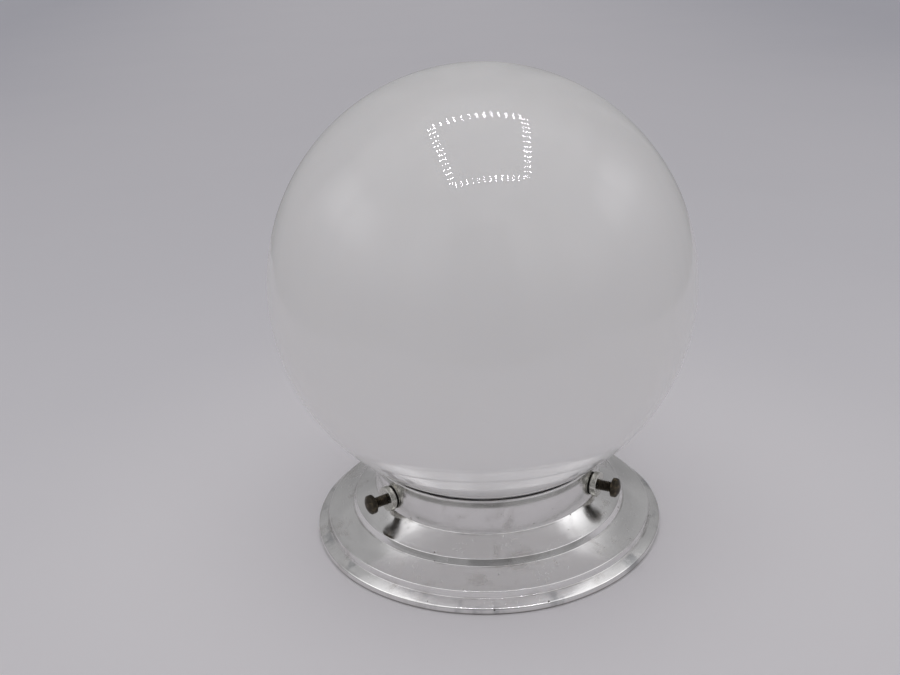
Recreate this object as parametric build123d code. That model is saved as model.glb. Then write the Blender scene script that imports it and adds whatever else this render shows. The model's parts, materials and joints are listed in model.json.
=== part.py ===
from build123d import *
from math import asin, cos, radians, sin
import os

# Flush ceiling light: an opal glass globe held in a stepped cast aluminium gallery by three thumb
# screws, with a bayonet lampholder and a lamp inside. It stands on its gallery's rim, globe up,
# which is upside down from how it hangs. Millimetres, +Z up, origin at the centre of the rim's face.

# How far a cut runs past the faces that it goes through.
OVERCUT = 1.0

# ---- gallery, as radius and height pairs of its polished outside and of its cast inside ----------
RIM_RADIUS = 88.0
RIM_HEIGHT = 3.0
RIM_LAND = 3.4
RIM_CROWN = (85.2, 3.7)
BAND_TOP = (82.7, 5.3)
STEP_ONE = (82.1, 8.3)
SLOPE_ONE_MIDDLE = (75.5, 10.3)
SLOPE_END = (69.1, 13.1)
STEP_TWO = (67.9, 16.2)
SLOPE_TWO_MIDDLE = (61.9, 18.6)
COVE = (56.9, 22.9)
COLLAR_RADIUS = 56.9
COLLAR_WALL = 2.2
FLARE_START = 35.6
LIP_RADIUS = 58.6
LIP_TOP = 41.0
LIP_THICKNESS = 1.5
SHELL = 2.3
LAND_THICKNESS = 1.4
INSIDE_BAND_Z = 3.4
INSIDE_STEP_ONE_Z = 6.2
INSIDE_SLOPE_ONE_MIDDLE = (73.6, 8.1)
INSIDE_SLOPE_END_Z = 10.8
INSIDE_STEP_TWO_Z = 13.9
INSIDE_SLOPE_TWO_MIDDLE = (60.2, 16.6)
RIM_ROUND = 1.0
RIM_EDGE_ROUND = 0.6
STEP_ROUND = 0.5
STEP_FOOT_ROUND = 0.4
COVE_ROUND = 0.6
LIP_ROUND = 0.6
LEDGE_TOP = 22.2
LEDGE_THICKNESS = 2.2
LEDGE_HOLE_RADIUS = 37.0

# ---- globe ---------------------------------------------------------------------------------------
GLOBE_RADIUS = 101.6
GLOBE_HALF_HEIGHT = 103.2
GLOBE_CENTRE_Z = 127.0
GLASS = 3.0
NECK_RADIUS = 50.5
NECK_FILLET = 9.0
GLASS_LIP_RADIUS = 53.9
GLASS_LIP_GAP = 0.3
GLASS_LIP_HEIGHT = 1.7
GLASS_FLARE_HEIGHT = 2.8
GLASS_LIP_ROUND = 0.8
GLASS_FLARE_ROUND = 1.5

# ---- thumb screws and their bushes, as distances from the globe's axis ---------------------------
SCREW_Z = 29.5
SCREW_AZIMUTHS = {"left": -150.0, "right": -30.0, "rear": 90.0}
SCREW_TIP = 54.4
SCREW_HEAD_FACE = 67.2
SCREW_HEAD_RADIUS = 4.7
SCREW_HEAD_RIM = 2.2
SCREW_HEAD_DOME = 1.7
SCREW_HEAD_ROUND = 0.4
SCREW_RADIUS = 2.6
SCREW_TIP_CHAMFER = 0.7
THREAD_PITCH = 0.9
THREAD_DEPTH = 0.45
THREAD_GROOVES = 13
THREAD_RUN_OUT = 0.8
GROOVE_HALF_WIDTH = 0.38
GROOVE_OVERCUT = 0.1
KNURL_FLUTES = 30
KNURL_RADIUS = 0.32
KNURL_OUTSIDE = 0.08
KNURL_STOP = 0.3
BUSH_BORE = 2.65
BUSH_FACE = 60.5
BUSH_FLANGE_RADIUS = 6.2
BUSH_GROOVE_RADIUS = 5.6
BUSH_GROOVE_WIDTH = 1.1
BUSH_SPIGOT_RADIUS = 4.0
BUSH_ROUND = 0.4
BUSH_GAP = 0.1

# ---- strap, its screws and the earth terminal ------------------------------------------------------
STRAP_WIDTH = 16.0
STRAP_THICKNESS = 1.6
STRAP_BOTTOM = 6.0
STRAP_HALF_LENGTH = 47.5
STRAP_LEG_X = 34.5
STRAP_BEND = 2.4
STRAP_CORNER = 3.0
FIXING_SPACING = 50.8
FIXING_SLOT_WIDTH = 4.5
FIXING_SLOT_LENGTH = 10.0
STRAP_SCREW_X = 42.0
M4_RADIUS = 2.0
M4_HOLE = 2.15
M4_HEAD_RADIUS = 3.7
M4_HEAD_CLEARANCE = 0.1
M4_NUT_ACROSS_FLATS = 7.0
M4_NUT_HEIGHT = 3.2
M4_SCREW_END_Z = 14.2
EARTH_X = -15.2
EARTH_HEAD_RADIUS = 3.5
EARTH_HEAD_HEIGHT = 2.4
EARTH_HEAD_ROUND = 0.8
EARTH_SCREW_REACH = 2.5
EARTH_SLOT_DEPTH = 1.1
EARTH_CUP_RADIUS = 4.2
EARTH_CUP_HEIGHT = 1.0
EARTH_LUG_LENGTH = 3.2
EARTH_LUG_THICKNESS = 0.5
EARTH_LUG_HEIGHT = 1.6
EARTH_LUG_INSET = 0.3
DRIVER_SLOT = 0.9
DRIVER_SLOT_DEPTH = 0.8

# ---- lampholder -------------------------------------------------------------------------------------
NIPPLE_RADIUS = 4.95
NIPPLE_BORE = 3.6
NIPPLE_BOTTOM = 1.9
NIPPLE_TOP = 12.6
LOCKNUT_ACROSS_FLATS = 14.0
LOCKNUT_HEIGHT = 3.0
HOLDER_WALL = 1.3
HOLDER_BASE_RADIUS = 8.6
HOLDER_BASE_HEIGHT = 4.0
HOLDER_BASE_THICKNESS = 1.2
HOLDER_DOME_HEIGHT = 6.4
HOLDER_DOME_INSIDE = 6.6
HOLDER_DOME_START = (1, 0.15)
HOLDER_RADIUS = 15.8
HOLDER_SEAM_Z = 22.8
SEAM_CLEARANCE = 0.4
DIVIDER_FLANGE_HEIGHT = 2.0
DIVIDER_BOSS_RADIUS = 11.3
DIVIDER_TOP = 29.6
DIVIDER_LOWER_RADIUS = 12.6
DIVIDER_BOTTOM = 19.0
DIVIDER_ROUND = 0.6
SKIRT_RADIUS = 12.9
SKIRT_BORE = 11.55
SKIRT_FLANGE_HEIGHT = 1.0
SKIRT_TOP = 46.5
SKIRT_BEAD_RADIUS = 0.9
SKIRT_BEAD_INSET = 0.2
RING_RADIUS = 17.4
RING_LIP = 1.2
RING_HEIGHT = 8.4
RING_ROUND = 0.5
RING_RIBS = 40
RING_RIB_RADIUS = 0.5
RING_RIB_OUTSIDE = 0.2
RING_RIB_STOP = 0.3
SLOT_WIDTH = 2.6
SLOT_BOTTOM = 35.2
SLOT_SWEEP = 25.0
HOOK_TOP = 40.1
CONTACT_Y = 5.0
PLUNGER_RADIUS = 2.5
PLUNGER_BORE = 2.58
PLUNGER_TIP_RADIUS = 1.9
PLUNGER_TIP_BORE = 1.96
PLUNGER_SHOULDER_Z = 27.9
PLUNGER_BOTTOM = 25.4
PLUNGER_LIP = 1.4
PLUNGER_ROUND = 0.4
SPRING_RADIUS = 1.95
SPRING_WIRE = 0.26
SPRING_TURNS = 4.5
SPRING_GAP = 0.05
TERMINAL_RADIUS = 2.9
TERMINAL_LENGTH = 5.4
TERMINAL_Y = 6.2
TERMINAL_CHAMFER = 0.5
TERMINAL_HOLE = 1.1
TERMINAL_HOLE_HEIGHT = 3.4
TERMINAL_SCREW_RADIUS = 1.25
TERMINAL_SCREW_SUNK = 0.3
TERMINAL_SCREW_END = 2.2
TERMINAL_SLOT_WIDTH = 0.5
TERMINAL_SLOT_DEPTH = 0.5

# ---- lamp ---------------------------------------------------------------------------------------------
LAMP_BOTTOM = 32.3
CONTACT_GAP = 0.05
LAMP_CONTACT_RADIUS = 1.7
LAMP_CONTACT_HEIGHT = 0.8
LAMP_CONTACT_ROUND = 0.3
CAP_RADIUS = 11.0
CAP_WALL = 0.4
CAP_TOP = 57.5
CAP_EDGE_RISE = 0.4
CAP_TURN_IN = 0.8
CAP_TURN_IN_HEIGHT = 1.0
CAP_CORNER_INSET = 0.6
CAP_CORNER_HEIGHT = 0.8
CAP_FLARE = 0.9
CAP_FLARE_START = 4.0
CAP_FLARE_END = 3.0
CAP_FLARE_INSIDE_RISE = 0.2
CAP_INSULATOR_HEIGHT = 3.2
PIN_Z = 39.0
PIN_RADIUS = 1.0
PIN_REACH = 13.3
PIN_ROUND = 0.3
BULB_RADIUS = 30.0
BULB_CENTRE_Z = 107.0
BULB_NECK_RADIUS = 14.6
BULB_GLASS = 0.8
BULB_NECK_INSIDE = 10.3
BULB_JOIN_ANGLE = 38.0
BULB_NECK_Z = 66.0
BULB_SEAT_Z = 52.0
BULB_FOOT_Z = 39.5
STEM_FOOT_Z = 41.5
STEM_FOOT_THICKNESS = 1.0
STEM_GAP = 0.05
STEM_CONE_RADIUS = 4.0
STEM_CONE_HEIGHT = 6.0
STEM_NECK_RADIUS = 3.0
PRESS_BOTTOM = 66.0
PRESS_LENGTH = 9.0
PRESS_THICKNESS = 3.2
PRESS_HEIGHT = 7.0
PRESS_ROUND = 1.2
ROD_RADIUS = 1.3
BUTTON_RADIUS = 2.2
BUTTON_RISE = 1.2
STEM_TOP = 78.0
FILAMENT_Z = 101.0
FILAMENT_SPAN = 13.0
FILAMENT_RADIUS = 0.3
FILAMENT_END_ANGLE = 6.0
LEAD_RADIUS = 0.35
LEAD_START_X = 3.2
LEAD_START_GAP = 0.05
LEAD_KNEE_X = 4.2
LEAD_KNEE_Z = 80.0
LEAD_END_RISE = 0.4
SUPPORT_RADIUS = 0.2
SUPPORT_ANGLES = (60.0, 90.0, 120.0)
SUPPORT_REACH = 12.48
SUPPORT_GAP = 0.25


def spin(section):
    """The solid that a section of radius and height sweeps round the globe's axis."""
    return revolve(Plane.XZ * section, axis=Axis.Z)


def polygon(*corners):
    return make_face(Polyline(*corners, close=True))


def disc(radius, bottom, top):
    """A round of the given radius between two heights."""
    return Pos(0, 0, bottom) * Cylinder(radius, top - bottom, align=(Align.CENTER, Align.CENTER, Align.MIN))


def hexagon(across_flats, bottom, top):
    face = RegularPolygon(across_flats / 2, 6, major_radius=False)
    return Pos(0, 0, bottom) * extrude(face, top - bottom)


def soften(face, corners, radius):
    """Rounds the named corners of a flat section."""
    picked = []
    for corner in corners:
        near = face.vertices().sort_by_distance((corner[0], corner[1], 0))
        picked.append(near[0])
    return fillet(picked, radius)


def radial(shape, azimuth, height):
    """Turns a shape modelled along +Z, from the globe's axis outwards, to its place on the collar."""
    return Pos(0, 0, height) * Rot(0, 0, azimuth) * Rot(0, 90, 0) * shape


def gallery_section():
    """The gallery's wall, cut through: rim, band, two steps, dished slopes, collar and inner ledge."""
    rim_corner = (RIM_RADIUS, RIM_HEIGHT)
    lip_inner = (LIP_RADIUS - LIP_THICKNESS, LIP_TOP)
    bore = COLLAR_RADIUS - COLLAR_WALL
    cove_inside = (COVE[0] - SHELL, LEDGE_TOP - LEDGE_THICKNESS)
    step_two_inside = (STEP_TWO[0] - SHELL, INSIDE_STEP_TWO_Z)
    slope_end_inside = (SLOPE_END[0] - SHELL, INSIDE_SLOPE_END_Z)
    step_one_inside = (STEP_ONE[0] - SHELL, INSIDE_STEP_ONE_Z)
    band_inside = (BAND_TOP[0] - SHELL, INSIDE_BAND_Z)
    land_edge = RIM_RADIUS - RIM_LAND
    outside = [
        Polyline((land_edge, 0), (RIM_RADIUS, 0), rim_corner),
        ThreePointArc(rim_corner, RIM_CROWN, BAND_TOP),
        Line(BAND_TOP, STEP_ONE),
        ThreePointArc(STEP_ONE, SLOPE_ONE_MIDDLE, SLOPE_END),
        Line(SLOPE_END, STEP_TWO),
        ThreePointArc(STEP_TWO, SLOPE_TWO_MIDDLE, COVE),
        Line(COVE, (COLLAR_RADIUS, FLARE_START)),
        TangentArc((COLLAR_RADIUS, FLARE_START), (LIP_RADIUS, LIP_TOP), tangent=(0, 1)),
        Line((LIP_RADIUS, LIP_TOP), lip_inner),
    ]
    inside = [
        TangentArc((bore, FLARE_START), lip_inner, tangent=(0, 1)),
        Polyline(
            (bore, FLARE_START),
            (bore, LEDGE_TOP),
            (LEDGE_HOLE_RADIUS, LEDGE_TOP),
            (LEDGE_HOLE_RADIUS, cove_inside[1]),
            cove_inside,
        ),
        ThreePointArc(cove_inside, INSIDE_SLOPE_TWO_MIDDLE, step_two_inside),
        Line(step_two_inside, slope_end_inside),
        ThreePointArc(slope_end_inside, INSIDE_SLOPE_ONE_MIDDLE, step_one_inside),
        Polyline(step_one_inside, band_inside, (land_edge, LAND_THICKNESS)),
        Line((land_edge, LAND_THICKNESS), (land_edge, 0)),
    ]
    section = make_face(outside + inside)
    section = soften(section, [rim_corner], RIM_ROUND)
    section = soften(section, [(RIM_RADIUS, 0)], RIM_EDGE_ROUND)
    section = soften(section, [STEP_ONE, STEP_TWO], STEP_ROUND)
    section = soften(section, [BAND_TOP, SLOPE_END], STEP_FOOT_ROUND)
    section = soften(section, [COVE], COVE_ROUND)
    return soften(section, [(LIP_RADIUS, LIP_TOP)], LIP_ROUND)


def gallery():
    shell = spin(gallery_section())
    bore = COLLAR_RADIUS - COLLAR_WALL
    for azimuth in SCREW_AZIMUTHS.values():
        shell -= radial(disc(BUSH_SPIGOT_RADIUS, bore - OVERCUT, COLLAR_RADIUS + OVERCUT), azimuth, SCREW_Z)
    for side in (-1, 1):
        at = Pos(side * STRAP_SCREW_X, 0, 0)
        shell -= at * disc(M4_HOLE, LEDGE_TOP - LEDGE_THICKNESS - OVERCUT, LEDGE_TOP + OVERCUT)
        shell -= at * countersunk_head(M4_HOLE, M4_HEAD_CLEARANCE)
    return shell


def countersunk_head(shank_radius, extra):
    """A countersunk head flush with the ledge, or with extra on its radius the recess for it."""
    depth = M4_HEAD_RADIUS - M4_RADIUS
    return spin(
        polygon(
            (0, LEDGE_TOP),
            (M4_HEAD_RADIUS + extra, LEDGE_TOP),
            (shank_radius, LEDGE_TOP - depth - extra + shank_radius - M4_RADIUS),
            (0, LEDGE_TOP - depth - extra + shank_radius - M4_RADIUS),
        )
    )


def globe_profile(radius, half_height, neck_radius, neck_fillet, neck_bottom):
    """A spheroid with a straight neck below it, blended into it, as a whole flat figure."""
    neck_height = GLOBE_CENTRE_Z - neck_bottom
    figure = Pos(0, GLOBE_CENTRE_Z) * Ellipse(radius, half_height)
    figure += Pos(0, neck_bottom + neck_height / 2) * Rectangle(2 * neck_radius, neck_height)
    junction_z = GLOBE_CENTRE_Z - half_height * (1 - (neck_radius / radius) ** 2) ** 0.5
    return soften(figure, [(neck_radius, junction_z), (-neck_radius, junction_z)], neck_fillet)


def opal_globe():
    """A blown globe with a narrow neck and, at the neck's mouth, a flared lip for the screws."""
    bottom = LEDGE_TOP + GLASS_LIP_GAP
    flare_z = bottom + GLASS_LIP_HEIGHT
    outside = globe_profile(GLOBE_RADIUS, GLOBE_HALF_HEIGHT, NECK_RADIUS, NECK_FILLET, bottom)
    inside = globe_profile(
        GLOBE_RADIUS - GLASS,
        GLOBE_HALF_HEIGHT - GLASS,
        NECK_RADIUS - GLASS,
        NECK_FILLET + GLASS,
        bottom - OVERCUT,
    )
    flare = polygon(
        (NECK_RADIUS - GLASS / 2, bottom),
        (GLASS_LIP_RADIUS, bottom),
        (GLASS_LIP_RADIUS, flare_z),
        (NECK_RADIUS, flare_z + GLASS_FLARE_HEIGHT),
        (NECK_RADIUS - GLASS / 2, flare_z + GLASS_FLARE_HEIGHT),
    )
    half_plane = Pos(GLOBE_RADIUS, GLOBE_CENTRE_Z) * Rectangle(2 * GLOBE_RADIUS, 4 * GLOBE_RADIUS)
    section = ((outside + flare - inside) & half_plane).faces()[0]
    section = soften(section, [(GLASS_LIP_RADIUS, bottom), (GLASS_LIP_RADIUS, flare_z)], GLASS_LIP_ROUND)
    section = soften(section, [(NECK_RADIUS - GLASS, bottom)], GLASS_LIP_ROUND)
    section = soften(section, [(NECK_RADIUS, flare_z + GLASS_FLARE_HEIGHT)], GLASS_FLARE_ROUND)
    return spin(section)


def screw_bush():
    """A turned bush with a flange outside the collar, a groove behind it and a spigot in the wall."""
    groove_start = COLLAR_RADIUS + BUSH_GAP
    bore_end = COLLAR_RADIUS - COLLAR_WALL
    section = polygon(
        (BUSH_BORE, bore_end),
        (BUSH_SPIGOT_RADIUS, bore_end),
        (BUSH_SPIGOT_RADIUS, groove_start),
        (BUSH_GROOVE_RADIUS, groove_start),
        (BUSH_GROOVE_RADIUS, groove_start + BUSH_GROOVE_WIDTH),
        (BUSH_FLANGE_RADIUS, groove_start + BUSH_GROOVE_WIDTH),
        (BUSH_FLANGE_RADIUS, BUSH_FACE),
        (BUSH_BORE, BUSH_FACE),
    )
    section = soften(section, [(BUSH_FLANGE_RADIUS, BUSH_FACE)], BUSH_ROUND)
    return spin(section)


def gallery_screw():
    """A thumb screw: round tip, thread as rings, and a knurled head with a domed end."""
    shank = disc(SCREW_RADIUS, SCREW_TIP, SCREW_HEAD_FACE + OVERCUT)
    shank = chamfer(shank.edges().group_by(Axis.Z)[0], SCREW_TIP_CHAMFER)
    first_groove = SCREW_HEAD_FACE - THREAD_RUN_OUT
    for turn in range(THREAD_GROOVES):
        middle = first_groove - turn * THREAD_PITCH
        shank -= spin(
            polygon(
                (SCREW_RADIUS - THREAD_DEPTH, middle),
                (SCREW_RADIUS + GROOVE_OVERCUT, middle - GROOVE_HALF_WIDTH),
                (SCREW_RADIUS + GROOVE_OVERCUT, middle + GROOVE_HALF_WIDTH),
            )
        )
    rim_end = SCREW_HEAD_FACE + SCREW_HEAD_RIM
    crown = (0, rim_end + SCREW_HEAD_DOME)
    dome_radius = (SCREW_HEAD_RADIUS**2 + SCREW_HEAD_DOME**2) / (2 * SCREW_HEAD_DOME)
    half_angle = asin(SCREW_HEAD_RADIUS / dome_radius) / 2
    dome_middle = (dome_radius * sin(half_angle), crown[1] - dome_radius * (1 - cos(half_angle)))
    face_corner = (SCREW_HEAD_RADIUS, SCREW_HEAD_FACE)
    rim_corner = (SCREW_HEAD_RADIUS, rim_end)
    dome = ThreePointArc(rim_corner, dome_middle, crown)
    section = make_face([dome, Polyline(crown, (0, SCREW_HEAD_FACE), face_corner, rim_corner)])
    head = spin(soften(section, [face_corner, rim_corner], SCREW_HEAD_ROUND))
    flute = disc(KNURL_RADIUS, SCREW_HEAD_FACE - OVERCUT, rim_end - KNURL_STOP)
    for step in range(KNURL_FLUTES):
        turn = Rot(0, 0, (step + 0.5) * 360 / KNURL_FLUTES)
        head -= turn * Pos(SCREW_HEAD_RADIUS + KNURL_OUTSIDE, 0, 0) * flute
    return shank + head


def back_strap():
    """A joggled steel strap across the gallery: raised ends under the ledge, low middle with slots."""
    low = STRAP_BOTTOM
    high = LEDGE_TOP - LEDGE_THICKNESS
    leg = STRAP_LEG_X
    half = polygon(
        (0, low),
        (leg + STRAP_THICKNESS, low),
        (leg + STRAP_THICKNESS, high - STRAP_THICKNESS),
        (STRAP_HALF_LENGTH, high - STRAP_THICKNESS),
        (STRAP_HALF_LENGTH, high),
        (leg, high),
        (leg, low + STRAP_THICKNESS),
        (0, low + STRAP_THICKNESS),
    )
    half = soften(half, [(leg + STRAP_THICKNESS, low), (leg, high)], STRAP_BEND)
    half = soften(half, [(leg, low + STRAP_THICKNESS)], STRAP_BEND - STRAP_THICKNESS)
    half = soften(half, [(leg + STRAP_THICKNESS, high - STRAP_THICKNESS)], STRAP_BEND - STRAP_THICKNESS)
    side_view = half + mirror(half, Plane.YZ)
    strap = extrude(Plane.XZ * side_view, STRAP_WIDTH / 2, both=True)
    below = low - OVERCUT
    above = low + STRAP_THICKNESS + OVERCUT
    strap -= disc(NIPPLE_RADIUS, below, above)
    strap -= Pos(EARTH_X, 0, 0) * disc(M4_RADIUS, below, above)
    slot = Pos(0, 0, below) * extrude(SlotOverall(FIXING_SLOT_LENGTH, FIXING_SLOT_WIDTH), above - below)
    end_hole = disc(M4_HOLE, high - STRAP_THICKNESS - OVERCUT, high + OVERCUT)
    for side in (-1, 1):
        strap -= Pos(side * FIXING_SPACING / 2, 0, 0) * slot
        strap -= Pos(side * STRAP_SCREW_X, 0, 0) * end_hole
    ends = strap.edges().filter_by(Axis.Z).group_by(Axis.X)
    return fillet(ends[0] + ends[-1], STRAP_CORNER)


def strap_screws():
    """The two countersunk screws that hold the strap up under the ledge."""
    screw = disc(M4_RADIUS, M4_SCREW_END_Z, LEDGE_TOP) + countersunk_head(M4_RADIUS, 0)
    screw -= Pos(0, 0, LEDGE_TOP) * Box(2 * M4_HEAD_RADIUS + OVERCUT, DRIVER_SLOT, 2 * DRIVER_SLOT_DEPTH)
    return [Pos(side * STRAP_SCREW_X, 0, 0) * screw for side in (-1, 1)]


def strap_nuts():
    top = LEDGE_TOP - LEDGE_THICKNESS - STRAP_THICKNESS
    bottom = top - M4_NUT_HEIGHT
    nut = hexagon(M4_NUT_ACROSS_FLATS, bottom, top) - disc(M4_RADIUS, bottom - OVERCUT, top + OVERCUT)
    return [Pos(side * STRAP_SCREW_X, 0, 0) * nut for side in (-1, 1)]


def earth_screw():
    """A pan head brass screw in the strap's tapped hole, above a cup washer."""
    strap_top = STRAP_BOTTOM + STRAP_THICKNESS
    head_bottom = strap_top + EARTH_CUP_HEIGHT
    head = disc(EARTH_HEAD_RADIUS, head_bottom, head_bottom + EARTH_HEAD_HEIGHT)
    head = fillet(head.edges().group_by(Axis.Z)[-1], EARTH_HEAD_ROUND)
    screw = head + disc(M4_RADIUS, STRAP_BOTTOM - EARTH_SCREW_REACH, head_bottom)
    slot = Box(2 * EARTH_HEAD_RADIUS + OVERCUT, DRIVER_SLOT, 2 * EARTH_SLOT_DEPTH)
    screw -= Pos(0, 0, head_bottom + EARTH_HEAD_HEIGHT) * slot
    return Pos(EARTH_X, 0, 0) * screw


def earth_washer():
    """A cup washer with raised edges that keep the wire's loop under the head."""
    strap_top = STRAP_BOTTOM + STRAP_THICKNESS
    washer_top = strap_top + EARTH_CUP_HEIGHT
    washer = disc(EARTH_CUP_RADIUS, strap_top, washer_top)
    washer -= disc(M4_RADIUS, strap_top - OVERCUT, washer_top + OVERCUT)
    lug = Box(EARTH_LUG_LENGTH, EARTH_LUG_THICKNESS, EARTH_LUG_HEIGHT)
    for side in (-1, 1):
        washer += Pos(0, side * (EARTH_CUP_RADIUS - EARTH_LUG_INSET), washer_top) * lug
    return Pos(EARTH_X, 0, 0) * washer


def holder_nipple():
    """The threaded tube that clamps the lampholder to the strap and lets the supply wires in."""
    bore = disc(NIPPLE_BORE, NIPPLE_BOTTOM - OVERCUT, NIPPLE_TOP + OVERCUT)
    return disc(NIPPLE_RADIUS, NIPPLE_BOTTOM, NIPPLE_TOP) - bore


def holder_locknut():
    bottom = STRAP_BOTTOM - LOCKNUT_HEIGHT
    nut = hexagon(LOCKNUT_ACROSS_FLATS, bottom, STRAP_BOTTOM)
    return nut - disc(NIPPLE_RADIUS, bottom - OVERCUT, STRAP_BOTTOM + OVERCUT)


def holder_cap():
    """The lampholder's domed lower half, screwed down on the nipple."""
    bottom = STRAP_BOTTOM + STRAP_THICKNESS
    shoulder = bottom + HOLDER_BASE_HEIGHT
    floor_edge = (HOLDER_BASE_RADIUS, shoulder + HOLDER_BASE_THICKNESS)
    wall_start = (HOLDER_RADIUS, shoulder + HOLDER_DOME_HEIGHT)
    inner_wall_start = (HOLDER_RADIUS - HOLDER_WALL, shoulder + HOLDER_DOME_INSIDE)
    section = make_face(
        [
            Polyline(
                (NIPPLE_RADIUS, floor_edge[1]),
                (NIPPLE_RADIUS, bottom),
                (HOLDER_BASE_RADIUS, bottom),
                (HOLDER_BASE_RADIUS, shoulder),
            ),
            TangentArc((HOLDER_BASE_RADIUS, shoulder), wall_start, tangent=HOLDER_DOME_START),
            Polyline(
                wall_start,
                (HOLDER_RADIUS, HOLDER_SEAM_Z),
                (inner_wall_start[0], HOLDER_SEAM_Z),
                inner_wall_start,
            ),
            TangentArc(floor_edge, inner_wall_start, tangent=HOLDER_DOME_START),
            Line(floor_edge, (NIPPLE_RADIUS, floor_edge[1])),
        ]
    )
    return spin(section)


def holder_divider():
    """The porcelain interior: a flange in the holder's seam, a boss each side, and two bores."""
    flange_top = HOLDER_SEAM_Z + DIVIDER_FLANGE_HEIGHT
    divider = disc(HOLDER_RADIUS - SEAM_CLEARANCE, HOLDER_SEAM_Z, flange_top)
    divider += disc(DIVIDER_BOSS_RADIUS, flange_top, DIVIDER_TOP)
    divider += disc(DIVIDER_LOWER_RADIUS, DIVIDER_BOTTOM, HOLDER_SEAM_Z)
    divider = fillet(divider.edges().group_by(Axis.Z)[-1], DIVIDER_ROUND)
    for side in (-1, 1):
        at = Pos(0, side * CONTACT_Y, 0)
        divider -= at * disc(PLUNGER_BORE, DIVIDER_BOTTOM - OVERCUT, DIVIDER_TOP - PLUNGER_LIP)
        divider -= at * disc(PLUNGER_TIP_BORE, DIVIDER_TOP - PLUNGER_LIP - OVERCUT, DIVIDER_TOP + OVERCUT)
    return divider


def holder_skirt():
    """The brass bayonet sleeve, with two hooked slots for the lamp's pins."""
    bottom = HOLDER_SEAM_Z + DIVIDER_FLANGE_HEIGHT
    top_of_flange = bottom + SKIRT_FLANGE_HEIGHT
    sleeve = disc(HOLDER_RADIUS - SEAM_CLEARANCE, bottom, top_of_flange)
    sleeve += disc(SKIRT_RADIUS, bottom, SKIRT_TOP)
    bead_centre = (SKIRT_RADIUS - SKIRT_BEAD_INSET, SKIRT_TOP - SKIRT_BEAD_RADIUS)
    sleeve += spin(Pos(*bead_centre) * Circle(SKIRT_BEAD_RADIUS))
    sleeve -= disc(SKIRT_BORE, bottom - OVERCUT, SKIRT_TOP + OVERCUT)
    reach = SKIRT_RADIUS + SKIRT_BEAD_RADIUS + OVERCUT
    entry = upright_slot(reach, SKIRT_TOP - SLOT_BOTTOM + OVERCUT)
    hook = upright_slot(reach, HOOK_TOP - SLOT_BOTTOM)
    across = Pos(0, 0, SLOT_BOTTOM) * extrude(wedge(reach, SLOT_SWEEP), SLOT_WIDTH)
    for half_turn in (0, 180):
        at = Rot(0, 0, half_turn)
        sleeve -= at * hook
        sleeve -= at * across
        sleeve -= at * Rot(0, 0, SLOT_SWEEP) * entry
    return sleeve


def upright_slot(reach, height):
    """A slot's straight cut, from the axis outwards and up from the slot's bottom."""
    cut = Box(reach, SLOT_WIDTH, height, align=(Align.CENTER, Align.CENTER, Align.MIN))
    return Pos(reach / 2, 0, SLOT_BOTTOM) * cut


def wedge(radius, angle):
    """A flat sector from angle 0 to angle."""
    end = (radius * cos(radians(angle)), radius * sin(radians(angle)))
    middle = (radius * cos(radians(angle / 2)), radius * sin(radians(angle / 2)))
    return make_face([Line((0, 0), (radius, 0)), ThreePointArc((radius, 0), middle, end), Line(end, (0, 0))])


def holder_ring():
    """The ribbed ring that screws over the cap and clamps the skirt's flange and the divider."""
    top = HOLDER_SEAM_Z + DIVIDER_FLANGE_HEIGHT + SKIRT_FLANGE_HEIGHT + RING_LIP
    below = top - RING_HEIGHT - OVERCUT
    ring = disc(RING_RADIUS, top - RING_HEIGHT, top) - disc(HOLDER_RADIUS, below, top - RING_LIP)
    ring -= disc(SKIRT_RADIUS, below, top + OVERCUT)
    ring = fillet(ring.edges().group_by(Axis.Z)[-1].sort_by(SortBy.LENGTH)[-1:], RING_ROUND)
    rib_cut = disc(RING_RIB_RADIUS, below, top - RING_LIP - RING_RIB_STOP)
    for step in range(RING_RIBS):
        turn = Rot(0, 0, step * 360 / RING_RIBS)
        ring -= turn * Pos(RING_RADIUS + RING_RIB_OUTSIDE, 0, 0) * rib_cut
    return ring


def plunger(side):
    """A brass contact plunger, held in its bore by the shoulder under the bore's lip."""
    body = disc(PLUNGER_RADIUS, PLUNGER_BOTTOM, PLUNGER_SHOULDER_Z)
    tip = disc(PLUNGER_TIP_RADIUS, PLUNGER_SHOULDER_Z, LAMP_BOTTOM - CONTACT_GAP)
    tip = fillet(tip.edges().group_by(Axis.Z)[-1], PLUNGER_ROUND)
    return Pos(0, side * CONTACT_Y, 0) * (body + tip)


def plunger_spring(side):
    """A coil spring between the terminal's top and the plunger."""
    bottom = DIVIDER_BOTTOM + SPRING_WIRE + SPRING_GAP
    height = PLUNGER_BOTTOM - SPRING_WIRE - SPRING_GAP - bottom
    path = Helix(height / SPRING_TURNS, height, SPRING_RADIUS)
    start = Plane(origin=path @ 0, z_dir=path % 0)
    coil = sweep(start * Circle(SPRING_WIRE), path)
    return Pos(0, side * CONTACT_Y, bottom) * coil


def terminal(side):
    """A brass post under its spring, cross drilled for the wire and tapped for a clamping screw."""
    bottom = DIVIDER_BOTTOM - TERMINAL_LENGTH
    post = disc(TERMINAL_RADIUS, bottom, DIVIDER_BOTTOM)
    post = chamfer(post.edges().group_by(Axis.Z)[0], TERMINAL_CHAMFER)
    wire_hole = Cylinder(TERMINAL_HOLE, 2 * (TERMINAL_RADIUS + OVERCUT))
    post -= Pos(0, 0, bottom + TERMINAL_HOLE_HEIGHT) * Rot(0, 90, 0) * wire_hole
    post -= disc(TERMINAL_SCREW_RADIUS, bottom - OVERCUT, bottom + TERMINAL_HOLE_HEIGHT)
    return Pos(0, side * TERMINAL_Y, 0) * post


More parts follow.
